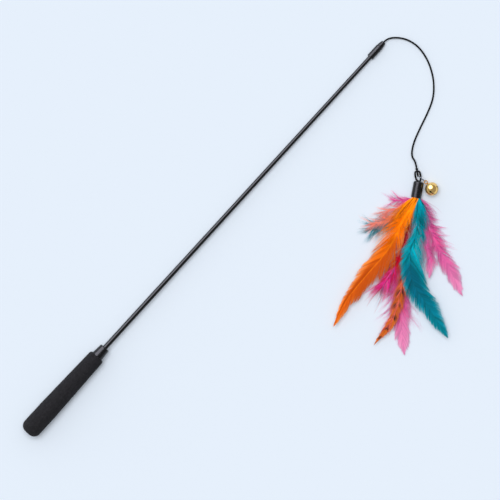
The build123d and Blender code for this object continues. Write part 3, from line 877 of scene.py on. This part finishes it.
def strands(
    shaft, share, side, angle, hook, length, half_width, thickness,
    rise, droop, wave, luck, lock, pull, point, offset=0.0,
):
    """Places of all the strands' points, from each strand's own values. The share along a strand is u."""
    spot = np.clip(share, 0, 1) * (SHAFT_SAMPLES - 1)
    low = np.minimum(spot.astype(int), SHAFT_SAMPLES - 2)
    part = (spot - low)[:, None]

    def at(values):
        return (values[low] * (1 - part) + values[low + 1] * part)[:, None, :]

    def column(values):
        return np.broadcast_to(values, share.shape)[:, None]

    u = BARB_POINTS[None, :, 2]
    hook = column(np.where(np.abs(hook) < LEAST_HOOK, LEAST_HOOK, hook))
    angle, length = column(angle), column(length)
    now = angle - hook * u
    run_ahead = length * (np.sin(angle) - np.sin(now)) / hook
    run_aside = length * (np.cos(now) - np.cos(angle)) / hook
    run_up = length * (column(rise) * u - column(droop) * u**2)
    ahead, aside = at(shaft.ahead), at(shaft.aside)
    out = aside * side[:, None, None]
    up = np.array((0, 0, 1.0))
    middle = at(shaft.line) + aside * column(offset)[..., None] + up * run_up[..., None]
    middle = middle + ahead * run_ahead[..., None] + out * run_aside[..., None]
    heading = ahead * np.cos(now)[..., None] + out * np.sin(now)[..., None]
    heading = heading + up * (column(rise) - 2 * column(droop) * u)[..., None]
    heading /= np.linalg.norm(heading, axis=-1, keepdims=True)
    sideways = np.cross(np.broadcast_to(up, heading.shape), heading)
    sideways /= np.linalg.norm(sideways, axis=-1, keepdims=True)
    flat = np.cross(heading, sideways)
    kink = column(wave) * np.sin(2 * math.pi * (KINK_WAVES * u + column(luck) * KINK_SHIFT)) * u
    middle = middle + sideways * kink[..., None]
    middle = middle + (middle[lock] - middle) * (column(pull) * u**3)[..., None]
    taper = 1 - (1 - STRAND_END) * u**point
    wide = BARB_POINTS[None, :, 0] * column(half_width) * taper
    thick = BARB_POINTS[None, :, 1] * column(thickness) * taper
    places = middle + sideways * wide[..., None] + flat * thick[..., None]
    places[..., 2] = np.maximum(places[..., 2], TABLE_CLEAR + TABLE_THICKNESS * BARB_POINTS[None, :, 1])
    return places


def lock_leaders(count, mean_size, chance):
    """For each strand the number of the strand that leads its lock."""
    leaders = np.zeros(count, int)
    start = 0
    while start < count:
        size = max(2, int(chance.normal(mean_size, mean_size / 3)))
        stop = min(count, start + size)
        leaders[start:stop] = (start + stop - 1) // 2
        start = stop
    return leaders


print("strands end at", STRAND_END, "of their width")

# %% [markdown]
# A vane could be cut from a sheet of equal barbs. Here each barb is as long as the feather's outline asks
# for, which is given on each side by a few shares along the shaft with their widths. Near the quill the barbs
# are loose and uneven, and further out they lie firmly side by side. So most values come as a pair, one for
# firm barbs and one for loose ones, and each barb takes its own share of the two.

# %% Vanes
BARB_THICKNESS = 0.08
PAST_OUTLINE = 1.1
OUTLINE_PASSES = 24
OUTLINE_STEP = 0.4
SWEEP_TURN = 0.82
LEAST_ANGLE = 7
ANGLE_LEFT = 4
LONGEST_BARB = 1.04
LOCK_MIDDLE = 0.35
BARB_WAVE = 0.05
LOOSE_WAVE = 0.015
LOOSE_PULL = 0.35
STREAK_STRANDS = 5
LEAST_TONE, LOCK_TONE, STREAK_TONE, BARB_TONE = 0.22, 0.16, 0.22, 0.18
VANE, DOWN, SHAFT = 0.0, 1.0, 2.0

LOCK_TURN = (0.7, 16.7)
BARB_TURN = (0.8, 4.8)
LOCK_HOOK = (0.25, 9.25)
LOCK_LIFT = (0.02, 0.24)
SHORTEST_BARB = (0.93, 0.58)
BARB_HALF_WIDTH = (0.21, 0.0945)
BARB_POINT = (3.0, 1.2)


def between(pair, loose):
    """A value between that of firm barbs and that of loose ones."""
    return pair[0] + (pair[1] - pair[0]) * loose


def barb_lengths(share, angle, total, outline):
    """How long each barb is, so that it ends on the outline: shares along the shaft, with half widths."""
    places, widths = zip(*outline)
    length = np.full(len(share), 1.0)
    for _ in range(OUTLINE_PASSES):
        reached = share + length * np.cos(angle) / total
        wanted = np.interp(reached, places, widths) / np.sin(angle)
        length = (1 - OUTLINE_STEP) * length + OUTLINE_STEP * wanted
    return length


def vane_strands(shaft, style, side, chance):
    """The barbs of one side of a feather: loose near the quill, and a firm vane further out."""
    start, end = style["vane"]
    total = shaft.length
    count = int(total * (end - start) / style["spacing"])
    share = np.linspace(start, end, count)
    fluffy, firm = style["loose"]
    loose = 1 - np.clip((share - fluffy) / (firm - fluffy), 0, 1)
    lock = lock_leaders(count, style["lock"], chance)
    lock_chance = chance.random(count)[lock]
    swept = np.interp(share, (start, (start + end) / 2, SWEEP_TURN, end), style["sweep"])
    swept = swept + between(LOCK_TURN, loose) * (lock_chance - 0.5)
    swept = swept + between(BARB_TURN, loose) * chance.normal(0, 1, count)
    angle = np.radians(np.maximum(swept, LEAST_ANGLE))
    hook = np.radians(style["hook"] + between(LOCK_HOOK, loose) * chance.normal(0, 1, count)[lock])
    hook = np.minimum(hook, angle - math.radians(ANGLE_LEFT))
    outline = style["right" if side > 0 else "left"]
    length = barb_lengths(share, angle - hook / 2, total, outline) * PAST_OUTLINE
    length = length * (1 - style["ragged"] * (1 + loose) * chance.random(count)[lock])
    length = length * chance.uniform(between(SHORTEST_BARB, loose), LONGEST_BARB)
    lift = between(LOCK_LIFT, loose) * (lock_chance - LOCK_MIDDLE)
    streak = chance.random(count)[lock_leaders(count, STREAK_STRANDS, chance)]
    luck = LEAST_TONE + LOCK_TONE * lock_chance + STREAK_TONE * streak + BARB_TONE * chance.random(count)
    sides = np.full(count, float(side))
    places = strands(
        shaft, share, sides, angle, hook, length, between(BARB_HALF_WIDTH, loose), BARB_THICKNESS,
        rise=style["rise"] + lift, droop=style["droop"], wave=BARB_WAVE + LOOSE_WAVE * length * loose,
        luck=luck, lock=lock, pull=between((style["pull"], LOOSE_PULL), loose),
        point=between(BARB_POINT, loose[:, None]),
    )
    return StrandGroup(places, share, sides, luck, VANE)


print("firm barbs are", 2 * BARB_HALF_WIDTH[0], "mm wide, loose ones", 2 * BARB_HALF_WIDTH[1])

# %% [markdown]
# Down grows around the lower part of a shaft. Single hairs spread evenly look like fur. Real down clings
# together, so the hairs are drawn in wisps: those of one wisp share their side, angle and bend, and each hair
# departs from them only a little.

# %% Down
DOWN_HALF_WIDTH = 0.1
DOWN_THICKNESS = 0.06
DOWN_POINT = 1.2
DOWN_SAG = 0.05
WISP_STRANDS = 6
WISP_SPREAD = 0.7
WISP_CROWDING = 1.2
WISP_HOOK = (5, 14)
WISP_REACH = (0.5, 1.1)
WISP_TONE = 0.7
WISP_WAVE = 0.015
WISP_PULL = 0.4
WISP_ARCH = 0.9
HAIR_TURN = 3
HAIR_HOOK = 4
HAIR_REACH = (0.5, 1.0)


def down_strands(shaft, style, chance):
    """Loose down around the lower part of a shaft, in wisps whose hairs lean together."""
    wisps, length, (start, end), (least, most), up = style["down"]
    count = wisps * WISP_STRANDS

    def by_wisp(values):
        return np.repeat(values, WISP_STRANDS)

    share = by_wisp(start + (end - start) * chance.random(wisps) ** WISP_CROWDING)
    share = share + chance.normal(0, WISP_SPREAD, count) / shaft.length
    side = by_wisp(np.where(chance.random(wisps) < style["down_left"], -1.0, 1.0))
    angle = np.radians(by_wisp(chance.uniform(least, most, wisps)) + chance.normal(0, HAIR_TURN, count))
    hook = np.radians(by_wisp(chance.normal(*WISP_HOOK, wisps)) + chance.normal(0, HAIR_HOOK, count))
    reach = by_wisp(length * chance.uniform(*WISP_REACH, wisps)) * chance.uniform(*HAIR_REACH, count)
    rise = by_wisp(chance.uniform(0.0, up, wisps))
    luck = WISP_TONE * by_wisp(chance.random(wisps)) + (1 - WISP_TONE) * chance.random(count)
    places = strands(
        shaft, share, side, angle, hook, reach, DOWN_HALF_WIDTH, DOWN_THICKNESS,
        rise=rise, droop=rise * WISP_ARCH + DOWN_SAG, wave=WISP_WAVE * reach,
        luck=luck, lock=by_wisp(np.arange(wisps) * WISP_STRANDS), pull=WISP_PULL, point=DOWN_POINT,
    )
    return StrandGroup(places, share, side, luck, DOWN)


print("down", 2 * DOWN_HALF_WIDTH, "mm wide, in wisps of", WISP_STRANDS)

# %% [markdown]
# Where the quills leave the cap, loose barbs lie over them side by side and hide the mouth's edge. They could
# be more down, but down leaves a shaft at all angles. So tufts of slightly wider hairs start across the mouth
# and fan out from one side's angle to the other's.

# %% Tufts
TUFT_STRANDS = 4
TUFT_HALF_WIDTH = 0.14
TUFT_SPREAD = 0.2
TUFT_TURN = 6
TUFT_HAIR_TURN = 1.5
TUFT_BEND = 0.4
TUFT_HAIR_REACH = (0.8, 1.0)
TUFT_RISE = 0.2
TUFT_TONE = 0.8
TUFT_WAVE = 0.012
TUFT_ROOT = (-0.3, 1.2)
TUFT_LIFT = (0.3, 1.0)


def tuft_strands(shaft, style, chance):
    """Tufts that leave the cap's mouth side by side and fan out between two angles."""
    tufts, edges, (shortest, longest), angles = style["tuft"]
    count = tufts * TUFT_STRANDS

    def by_tuft(values):
        return np.repeat(values, TUFT_STRANDS)

    across = by_tuft(chance.uniform(*edges, tufts)) + chance.normal(0, TUFT_SPREAD, count)
    turned = np.interp(across, edges, angles) + by_tuft(chance.normal(0, TUFT_TURN, tufts))
    turned = turned + chance.normal(0, TUFT_HAIR_TURN, count)
    side = np.where(turned < 0, -1.0, 1.0)
    hook = np.radians(TUFT_BEND * np.abs(turned) + by_tuft(chance.normal(0, TUFT_TURN, tufts)))
    reach = by_tuft(chance.uniform(shortest, longest, tufts)) * chance.uniform(*TUFT_HAIR_REACH, count)
    rise = by_tuft(chance.uniform(0, TUFT_RISE, tufts))
    luck = TUFT_TONE * by_tuft(chance.random(tufts)) + (1 - TUFT_TONE) * chance.random(count)
    start = (QUILL_INSIDE + chance.uniform(*TUFT_ROOT, count)) / shaft.length
    places = strands(
        shaft, start, side, np.radians(np.abs(turned)), hook, reach, TUFT_HALF_WIDTH, DOWN_THICKNESS,
        rise=rise, droop=rise + DOWN_SAG, wave=TUFT_WAVE * reach,
        luck=luck, lock=np.arange(count), pull=0.0, point=DOWN_POINT, offset=across - style["across"],
    )
    places[..., 2] += (style["lift"] * by_tuft(chance.uniform(*TUFT_LIFT, tufts)))[:, None]
    return StrandGroup(places, np.zeros(count), side, luck, DOWN)


print("tuft hairs", 2 * TUFT_HALF_WIDTH, "mm wide, in tufts of", TUFT_STRANDS)

# %% [markdown]
# A feather is put together from two vanes, its down, its tufts and its shaft, in one mesh. Its vertices keep
# the share along the shaft, the place along the strand and a chance number, which the dye reads. An unwrap of
# thousands of strips would be slow and crowded, so the flat map gives every strand a square of its own.

# %% Shaft and whole feather
SHAFT_SIDES = 8
SHAFT_END = 0.1
SHAFT_TAPER = 0.7
SHAFT_STEP = 4
SHAFT_LUCK = 0.5
SHAFT_MAP = 0.9
FEATHER_SEED = 100


def shaft_strand(shaft, quill):
    """The shaft's own tube, in millimetres: points, faces, and each point's place along and around it."""
    radii = quill + (SHAFT_END - quill) * np.linspace(0, 1, SHAFT_SAMPLES) ** SHAFT_TAPER
    tube = bmesh.new()
    add_tube(tube, shaft.line[::SHAFT_STEP], radii[::SHAFT_STEP], SHAFT_SIDES)
    bmesh.ops.recalc_face_normals(tube, faces=tube.faces)
    tube.verts.index_update()
    around = tube.verts.layers.float_vector["around"]
    points = np.array([v.co[:] for v in tube.verts])
    run = np.array([v[around][2] for v in tube.verts]) / shaft.length
    turn = np.array([math.atan2(v[around][1], v[around][0]) for v in tube.verts]) / (2 * math.pi) + 0.5
    faces = [[v.index for v in face.verts] for face in tube.faces]
    tube.free()
    return points, faces, run, turn


def make_feather(name, finish, layer, style):
    """One feather as a piece: vanes, down, tufts and shaft in one mesh."""
    chance = np.random.default_rng(FEATHER_SEED + layer)
    shaft = shaft_line(layer, style["across"], style["points"])
    groups = [vane_strands(shaft, style, side, chance) for side in (-1, 1)]
    groups += [down_strands(shaft, style, chance), tuft_strands(shaft, style, chance)]
    places = np.concatenate([group.places for group in groups])
    count, size = places.shape[:2]
    faces = (BARB_FACES[None] + (np.arange(count) * size)[:, None, None]).reshape(-1, 4).tolist()
    points, shaft_faces, run, turn = shaft_strand(shaft, style["quill"])
    faces += [[index + count * size for index in face] for face in shaft_faces]

    def by_point(strand_values, shaft_values):
        """A value for every point, from one value for each strand and one for each point of the shaft."""
        shaft_values = np.broadcast_to(shaft_values, len(points))
        return np.concatenate([np.repeat(np.concatenate(strand_values), size), shaft_values])

    share = by_point([group.share for group in groups], run)
    side = by_point([group.side for group in groups], 0.0)
    luck = by_point([group.luck for group in groups], SHAFT_LUCK)
    kind = by_point([np.full(len(group.share), group.kind) for group in groups], SHAFT)
    out = side * np.concatenate([np.tile(BARB_POINTS[:, 2], count), np.zeros(len(points))])
    everything = np.concatenate([places.reshape(-1, 3), points])
    data = bpy.data.meshes.new(name)
    data.from_pydata((everything @ LURE_AXES + LURE_ORIGIN).tolist(), [], faces)
    barb = np.stack([share, out, luck], axis=1)
    data.attributes.new("barb", "FLOAT_VECTOR", "POINT").data.foreach_set("vector", barb.ravel())
    data.attributes.new("kind", "FLOAT", "POINT").data.foreach_set("value", kind)

    across = math.ceil(math.sqrt(count)) + 1
    corner = np.stack([np.arange(count) % across, np.arange(count) // across], axis=1)
    strand_map = (BARB_CELL[None] + corner[:, None, None, :]).reshape(-1, 2) / across
    shaft_map = [(run[i], (across - 1 + SHAFT_MAP * turn[i]) / across) for face in shaft_faces for i in face]
    flat = data.uv_layers.new(name="OFBake")
    flat.data.foreach_set("uv", np.concatenate([strand_map, shaft_map]).ravel())
    data.materials.append(finish)
    stand_in(name + "_plumage", data, name, "lure")
    print(name, "has", count, "strands")


print("shafts have", SHAFT_SIDES, "sides")

# %% [markdown]
# ## Dye
# Dyed feathers are never one colour: the dye is strongest near the quill, thins towards the ends of the
# barbs, and takes differently from strand to strand. One node group mixes it from the values that the
# vertices keep, and each material places it with its own colours.

# %% Dye group
DYE_COLOURS = ("Root", "Middle", "Tip", "Edge", "Down", "Shaft")
UNDYED = (1, 1, 1, 1)
ROOT_FADE = (0.26, 0.5)
TIP_FADE = (0.55, 0.95)
EDGE_FADE = (0.35, 1.0)
HUE_SWING = 0.02

dye, dye_in, dye_out = new_group(
    "feather_dye",
    [(label, COLOUR, UNDYED) for label in DYE_COLOURS] + [("Streaks", FLOAT, 0.5)],
    [("Colour", COLOUR), ("Share", FLOAT), ("Out", FLOAT), ("Vane", FLOAT), ("Chance", FLOAT)],
)
barb_values = add_node(dye, "ShaderNodeAttribute", attribute_name="barb")
barb_split = add_node(dye, "ShaderNodeSeparateXYZ")
dye.links.new(barb_values.outputs["Vector"], barb_split.inputs[0])
along, out_signed, luck_value = barb_split.outputs
kind_values = add_node(dye, "ShaderNodeAttribute", attribute_name="kind")
kind_value = kind_values.outputs["Fac"]
out_plain = math_node(dye, "ABSOLUTE", out_signed)
root, middle, tip, edge, down, quill = (dye_in.outputs[label] for label in DYE_COLOURS)
colour = blend_colours(dye, ramp(dye, along, *ROOT_FADE), root, middle)
colour = blend_colours(dye, ramp(dye, along, *TIP_FADE), colour, tip)
colour = blend_colours(dye, ramp(dye, out_plain, *EDGE_FADE), colour, edge)
is_down = math_node(dye, "GREATER_THAN", kind_value, (VANE + DOWN) / 2)
is_shaft = math_node(dye, "GREATER_THAN", kind_value, (DOWN + SHAFT) / 2)
colour = blend_colours(dye, is_down, colour, down)
colour = blend_colours(dye, is_shaft, colour, quill)
tone = add_node(dye, "ShaderNodeHueSaturation")
swing = times(dye, math_node(dye, "SUBTRACT", luck_value, 0.5), dye_in.outputs["Streaks"])
dye.links.new(math_node(dye, "ADD", swing, 1.0), tone.inputs["Value"])
dye.links.new(math_node(dye, "MULTIPLY_ADD", swing, HUE_SWING, 0.5), tone.inputs["Hue"])
dye.links.new(colour, tone.inputs["Color"])
dye.links.new(tone.outputs["Color"], dye_out.inputs["Colour"])
dye.links.new(along, dye_out.inputs["Share"])
dye.links.new(out_signed, dye_out.inputs["Out"])
dye.links.new(math_node(dye, "SUBTRACT", 1.0, is_down), dye_out.inputs["Vane"])
dye.links.new(luck_value, dye_out.inputs["Chance"])
print("group", dye.name)

# %% Feather finishes
def feather_finish(name, **colours):
    """A feather's finish: soft, with a slight sheen, and its colour from the dye group."""
    material, tree, shader = start_material(
        name, Roughness=0.7, Sheen_Weight=0.05, Sheen_Roughness=0.4, Specular_IOR_Level=0.15
    )
    dyed = place_group(tree, dye, **colours)
    tree.links.new(dyed.outputs["Colour"], shader.inputs["Base Color"])
    return material, tree, shader, dyed


orange_dye, orange_tree, orange_shader, orange_dyed = feather_finish(
    "orange_dye",
    Root=srgb(250, 120, 0), Middle=srgb(232, 104, 16), Tip=srgb(232, 98, 14), Edge=srgb(248, 150, 74),
    Down=srgb(255, 138, 12), Shaft=srgb(250, 138, 10), Streaks=1.5,
)
teal_dye = feather_finish(
    "teal_dye",
    Root=srgb(0, 186, 200), Middle=srgb(0, 100, 122), Tip=srgb(0, 132, 150), Edge=srgb(0, 154, 170),
    Down=srgb(0, 152, 168), Shaft=srgb(20, 96, 110), Streaks=2.2,
)[0]
pink_dye = feather_finish(
    "pink_dye",
    Root=srgb(228, 28, 132), Middle=srgb(222, 98, 164), Tip=srgb(232, 138, 186), Edge=srgb(238, 160, 202),
    Down=srgb(234, 98, 170), Shaft=srgb(218, 100, 164), Streaks=1.2,
)[0]
barred_dye, barred_tree, barred_shader, barred_dyed = feather_finish(
    "barred_dye",
    Root=srgb(176, 78, 36), Middle=srgb(192, 86, 36), Tip=srgb(214, 106, 32), Edge=srgb(220, 114, 64),
    Down=srgb(232, 108, 88), Shaft=srgb(120, 64, 36), Streaks=1.0,
)
crimson_dye, crimson_tree, crimson_shader, crimson_dyed = feather_finish(
    "crimson_dye",
    Root=srgb(150, 10, 34), Middle=srgb(206, 16, 44), Tip=srgb(222, 30, 66), Edge=srgb(232, 48, 104),
    Down=srgb(244, 64, 168), Shaft=srgb(96, 8, 24), Streaks=1.0,
)
coral_dye = feather_finish(
    "coral_dye",
    Root=srgb(248, 100, 120), Middle=srgb(250, 138, 118), Tip=srgb(252, 166, 144), Edge=srgb(252, 186, 168),
    Down=srgb(250, 148, 132), Shaft=srgb(246, 126, 100), Streaks=0.8,
)[0]
print("feather finishes place", dye.name, dye.users, "times")

# %% [markdown]
# Two feathers have marks of their own, and one has painted shade. The orange one is painted browner on one
# vane, as shade where the vane tilts, and a dark stripe beside its shaft is the shaft's painted shadow.
# The barred one has dark blots along its shaft. A few strands of other dyes stick in the crimson one.

# %% Painted shade on the orange feather
VANE_SHADE_STRENGTH = 0.85


def overlap(tree, *masks):
    """Where all of the masks are set, as their product."""
    product = masks[0]
    for mask in masks[1:]:
        product = times(tree, product, mask)
    return product


out, share = orange_dyed.outputs["Out"], orange_dyed.outputs["Share"]
# Painted shadow of the shaft: a darker stripe on the left vane, next to the shaft.
painted_shaft_shadow = overlap(
    orange_tree,
    ramp(orange_tree, out, -0.6, -0.3),
    ramp(orange_tree, out, 0.02, -0.05),
    ramp(orange_tree, share, 0.4, 0.6),
    orange_dyed.outputs["Vane"],
)
# Painted shade: the right vane is painted browner, as the shade it takes where it tilts.
painted_vane_shade = overlap(
    orange_tree,
    ramp(orange_tree, out, 0.0, 0.15),
    ramp(orange_tree, share, 0.2, 0.38),
    ramp(orange_tree, share, 0.9, 0.6),
    VANE_SHADE_STRENGTH,
)
orange_with_painted_shade = blend_colours(orange_tree, painted_vane_shade, orange_dyed.outputs["Colour"], srgb(200, 82, 16))
orange_with_painted_shade = blend_colours(orange_tree, painted_shaft_shadow, orange_with_painted_shade, srgb(196, 78, 10))
orange_tree.links.new(orange_with_painted_shade, orange_shader.inputs["Base Color"])
print("orange finish with", len(orange_tree.nodes), "nodes")

# %% Bars of the barred feather
BAR_COUNT = 12
BAR_LEAN = 0.035

out_plain = math_node(barred_tree, "ABSOLUTE", barred_dyed.outputs["Out"])
chevron = math_node(barred_tree, "MULTIPLY_ADD", out_plain, BAR_LEAN, barred_dyed.outputs["Share"])
wave = math_node(barred_tree, "SINE", times(barred_tree, chevron, 2 * math.pi * BAR_COUNT))
bars = overlap(
    barred_tree,
    ramp(barred_tree, wave, 0.2, 0.7),
    ramp(barred_tree, out_plain, 0.85, 0.4),
    ramp(barred_tree, barred_dyed.outputs["Chance"], 0.25, 0.55),
    barred_dyed.outputs["Vane"],
)
barred = blend_colours(barred_tree, bars, barred_dyed.outputs["Colour"], srgb(46, 34, 40))
barred_tree.links.new(barred, barred_shader.inputs["Base Color"])
print(BAR_COUNT, "bars along the barred feather")

# %% Stray hairs of the crimson feather
STRAY_DYES = [
    ((0.5, 0.44), srgb(212, 24, 64)),
    ((0.22, 0.17), srgb(48, 62, 120)),
    ((0.84, 0.88), srgb(20, 170, 190)),
]

loose_hair = math_node(crimson_tree, "SUBTRACT", 1.0, crimson_dyed.outputs["Vane"])
mixed = crimson_dyed.outputs["Colour"]
for chances, stray_dye in STRAY_DYES:
    stray = times(crimson_tree, ramp(crimson_tree, crimson_dyed.outputs["Chance"], *chances), loose_hair)
    mixed = blend_colours(crimson_tree, stray, mixed, stray_dye)
crimson_tree.links.new(mixed, crimson_shader.inputs["Base Color"])
print(len(STRAY_DYES), "stray dyes in the crimson feather")

# %% [markdown]
# ## The twelve feathers
# They lie from the table up. Long ones have a firm vane with few splits, the small plumes are nearly all
# down. The points are the shaft's, in millimetres from the cap's mouth.

# %% Shapes of the feathers
PLAIN = {
    "vane": (0.15, 0.985),
    "spacing": 0.27,
    "loose": (0.25, 0.55),
    "sweep": (38, 33, 27, 12),
    "hook": 8,
    "lock": 22,
    "pull": 0.25,
    "ragged": 0.1,
    "rise": 0.08,
    "droop": 0.12,
    "down": (40, 14.0, (0.06, 0.35), (10, 50), 0.3),
    "down_left": 0.5,
    "tuft": (5, (-1.0, 1.0), (8, 20), (-12, 12)),
    "lift": 0.3,
    "quill": 0.5,
}
PLUME = {
    "vane": (0.1, 0.7),
    "spacing": 0.6,
    "loose": (0.9, 1.6),
    "sweep": (24, 20, 16, 10),
    "lock": 3,
    "pull": 0.1,
    "ragged": 0.45,
    "quill": 0.18,
}


def style(*bases, **own):
    """A feather's shape: the plain one, changed by another kind's values and then by its own."""
    shape = dict(PLAIN)
    for base in (*bases, own):
        shape.update(base)
    return shape


def even(*outline):
    """The same outline on both sides of the shaft."""
    return {"left": list(outline), "right": list(outline)}


FEATHERS = [
    ("teal_side_plume", "teal_feather", teal_dye, style(
        PLUME, even((0, 2), (0.4, 6), (0.8, 6), (1, 2)),
        across=-1.6,
        points=[(15, -6), (25, -15), (33, -27), (41, -42)],
        down=(120, 24.0, (0.3, 0.9), (2, 50), 0.4),
    )),
    ("pink_tail_feather", "pink_feather", pink_dye, style(
        across=0.0,
        points=[(22, 2.3), (52, 1.8), (88, 2.2), (113, 5.7), (157, 17)],
        left=[(0, 2), (0.4, 10), (0.62, 15), (0.7, 13), (0.8, 10), (0.88, 8), (0.94, 5), (1, 0)],
        right=[(0, 2), (0.4, 8), (0.64, 12), (0.72, 12), (0.8, 10), (0.88, 9), (0.94, 6), (1, 0)],
        vane=(0.3, 0.985), loose=(0.5, 0.8), lock=12, pull=0.35, ragged=0.2,
        down=(190, 38.0, (0.34, 0.72), (8, 46), 0.2), down_left=0.7,
    )),
    ("pink_side_feather", "pink_feather", pink_dye, style(
        across=1.6,
        points=[(21.7, 15.5), (47, 32.3), (63, 45.4), (88, 62.8)],
        left=[(0, 3), (0.3, 8), (0.55, 9.5), (0.7, 10), (0.8, 8), (0.9, 5.5), (1, 0)],
        right=[(0, 3), (0.3, 8), (0.45, 9), (0.6, 10), (0.75, 10), (0.88, 7.5), (0.95, 4.5), (1, 0)],
        vane=(0.28, 0.985), loose=(0.4, 0.75), lock=12, pull=0.4, ragged=0.22,
        down=(140, 24.0, (0.06, 0.5), (8, 58), 0.3), down_left=0.3,
        tuft=(12, (2.2, 3.9), (8, 32), (14, 70)),
    )),
    ("coral_plume", "coral_feather", coral_dye, style(
        PLUME, even((0, 2), (0.4, 7), (0.8, 6), (1, 2)),
        across=-2.8,
        points=[(9, -9), (15, -19), (21, -33)],
        spacing=1.8,
        down=(60, 19.0, (0.1, 0.85), (2, 50), 0.3),
    )),
    ("crimson_feather", "crimson_feather", crimson_dye, style(
        even((0, 2), (0.5, 9), (0.8, 11), (0.9, 8), (1, 0)),
        across=-0.6,
        points=[(24.6, -2), (51.6, -4.5), (71.7, -8.5), (96, -17.7)],
        vane=(0.25, 0.985), loose=(0.5, 1.1), lock=9, pull=0.3, ragged=0.25,
        down=(90, 32.0, (0.74, 0.97), (2, 32), 0.3), down_left=0.6,
    )),
    ("pink_inner_feather", "pink_feather", pink_dye, style(
        across=2.4,
        left=[(0, 3), (0.4, 13), (0.6, 15.5), (0.8, 12), (0.92, 6), (1, 0)],
        right=[(0, 3), (0.5, 9), (0.8, 7.5), (0.92, 4.5), (1, 0)],
        points=[(16, 7.3), (39.6, 17.7), (58, 25), (77, 28)],
        vane=(0.2, 0.985), loose=(0.6, 1.1), lock=9, pull=0.35, ragged=0.25,
        down=(70, 17.0, (0.2, 0.8), (5, 45), 0.3),
    )),
    ("pink_plume", "pink_feather", pink_dye, style(
        PLUME, even((0, 1), (0.5, 4), (0.8, 4), (1, 2)),
        across=-2.8,
        points=[(4.4, -10), (6, -16), (7, -23)],
        spacing=1.6,
        down=(45, 17.0, (0.2, 0.9), (2, 55), 0.35),
    )),
    ("coral_side_plume", "coral_feather", coral_dye, style(
        PLUME, even((0, 2), (0.4, 6), (0.8, 5), (1, 2)),
        across=-1.4,
        points=[(11, -6.5), (22.7, -17.9), (30, -30), (34, -42)],
        vane=(0.5, 0.85), spacing=1.2,
        down=(70, 20.0, (0.45, 0.95), (2, 48), 0.3),
    )),
    ("barred_feather", "barred_feather", barred_dye, style(
        across=0.2,
        points=[(27.5, 0.6), (57.8, 1.7), (95, 2.2), (124, -1.3), (152.7, -15.1)],
        left=[(0, 2), (0.5, 10), (0.65, 8.5), (0.8, 6), (0.9, 4), (1, 0)],
        right=[(0, 2), (0.5, 9), (0.65, 7), (0.8, 4.5), (0.9, 3), (1, 0)],
        vane=(0.3, 0.985), loose=(0.45, 0.75), sweep=(32, 26, 22, 10), lock=10, pull=0.35, ragged=0.25,
        down=(110, 20.0, (0.45, 0.84), (6, 32), 0.2), down_left=0.75,
    )),
    ("teal_plume", "teal_feather", teal_dye, style(
        PLUME, even((0, 2), (0.4, 8), (0.8, 7), (1, 2)),
        across=2.4,
        points=[(14, 6), (28, 11.5), (44, 14)],
        down=(60, 16.0, (0.1, 0.8), (3, 36), 0.3),
        tuft=(38, (0.6, 4.2), (20, 42), (-4, 40)),
    )),
    ("orange_feather", "orange_feather", orange_dye, style(
        across=-1.4,
        points=[(24, -8.5), (56.3, -18.5), (81.8, -33.1), (113.5, -50), (142, -58.4)],
        left=[(0, 2), (0.1, 6), (0.2, 8), (0.28, 13), (0.34, 19), (0.41, 20), (0.5, 14.5), (0.6, 8.5),
              (0.7, 6.3), (0.8, 4.5), (0.9, 2.4), (1, 0)],
        right=[(0, 2), (0.08, 6), (0.15, 9), (0.25, 11), (0.35, 12), (0.45, 12.5), (0.52, 12.5), (0.6, 11.5),
               (0.7, 10), (0.78, 9), (0.87, 6.5), (0.93, 4.2), (1, 0)],
        vane=(0.03, 0.985), loose=(0.1, 0.42), sweep=(34, 30, 25, 10), ragged=0.16, pull=0.3,
        down=(60, 17.0, (0.04, 0.38), (8, 42), 0.3), down_left=0.6,
        tuft=(85, (-3.8, 2.3), (16, 50), (-32, -10)), lift=1.3,
    )),
    ("teal_feather", "teal_feather", teal_dye, style(
        across=1.4,
        points=[(31, 6.5), (57.4, 4.3), (81.5, 11.1), (102.5, 29.2), (132.6, 57.1)],
        left=[(0, 3), (0.15, 6), (0.3, 8), (0.36, 9), (0.5, 9), (0.6, 10), (0.7, 10), (0.8, 7.5),
              (0.9, 5.5), (1, 0)],
        right=[(0, 3), (0.15, 6), (0.3, 12), (0.38, 19), (0.46, 22), (0.55, 18), (0.65, 13.5), (0.75, 10.5),
               (0.86, 8), (0.94, 4), (1, 0)],
        vane=(0.2, 0.985), loose=(0.22, 0.4), sweep=(44, 40, 34, 12), ragged=0.14, pull=0.35, lock=14,
        down=(90, 16.0, (0.1, 0.42), (4, 34), 0.35),
        tuft=(34, (1.4, 3.6), (16, 40), (-8, 30)),
    )),
]

for layer, (name, slot, finish, shape) in enumerate(FEATHERS):
    make_feather(name, finish, layer, shape)
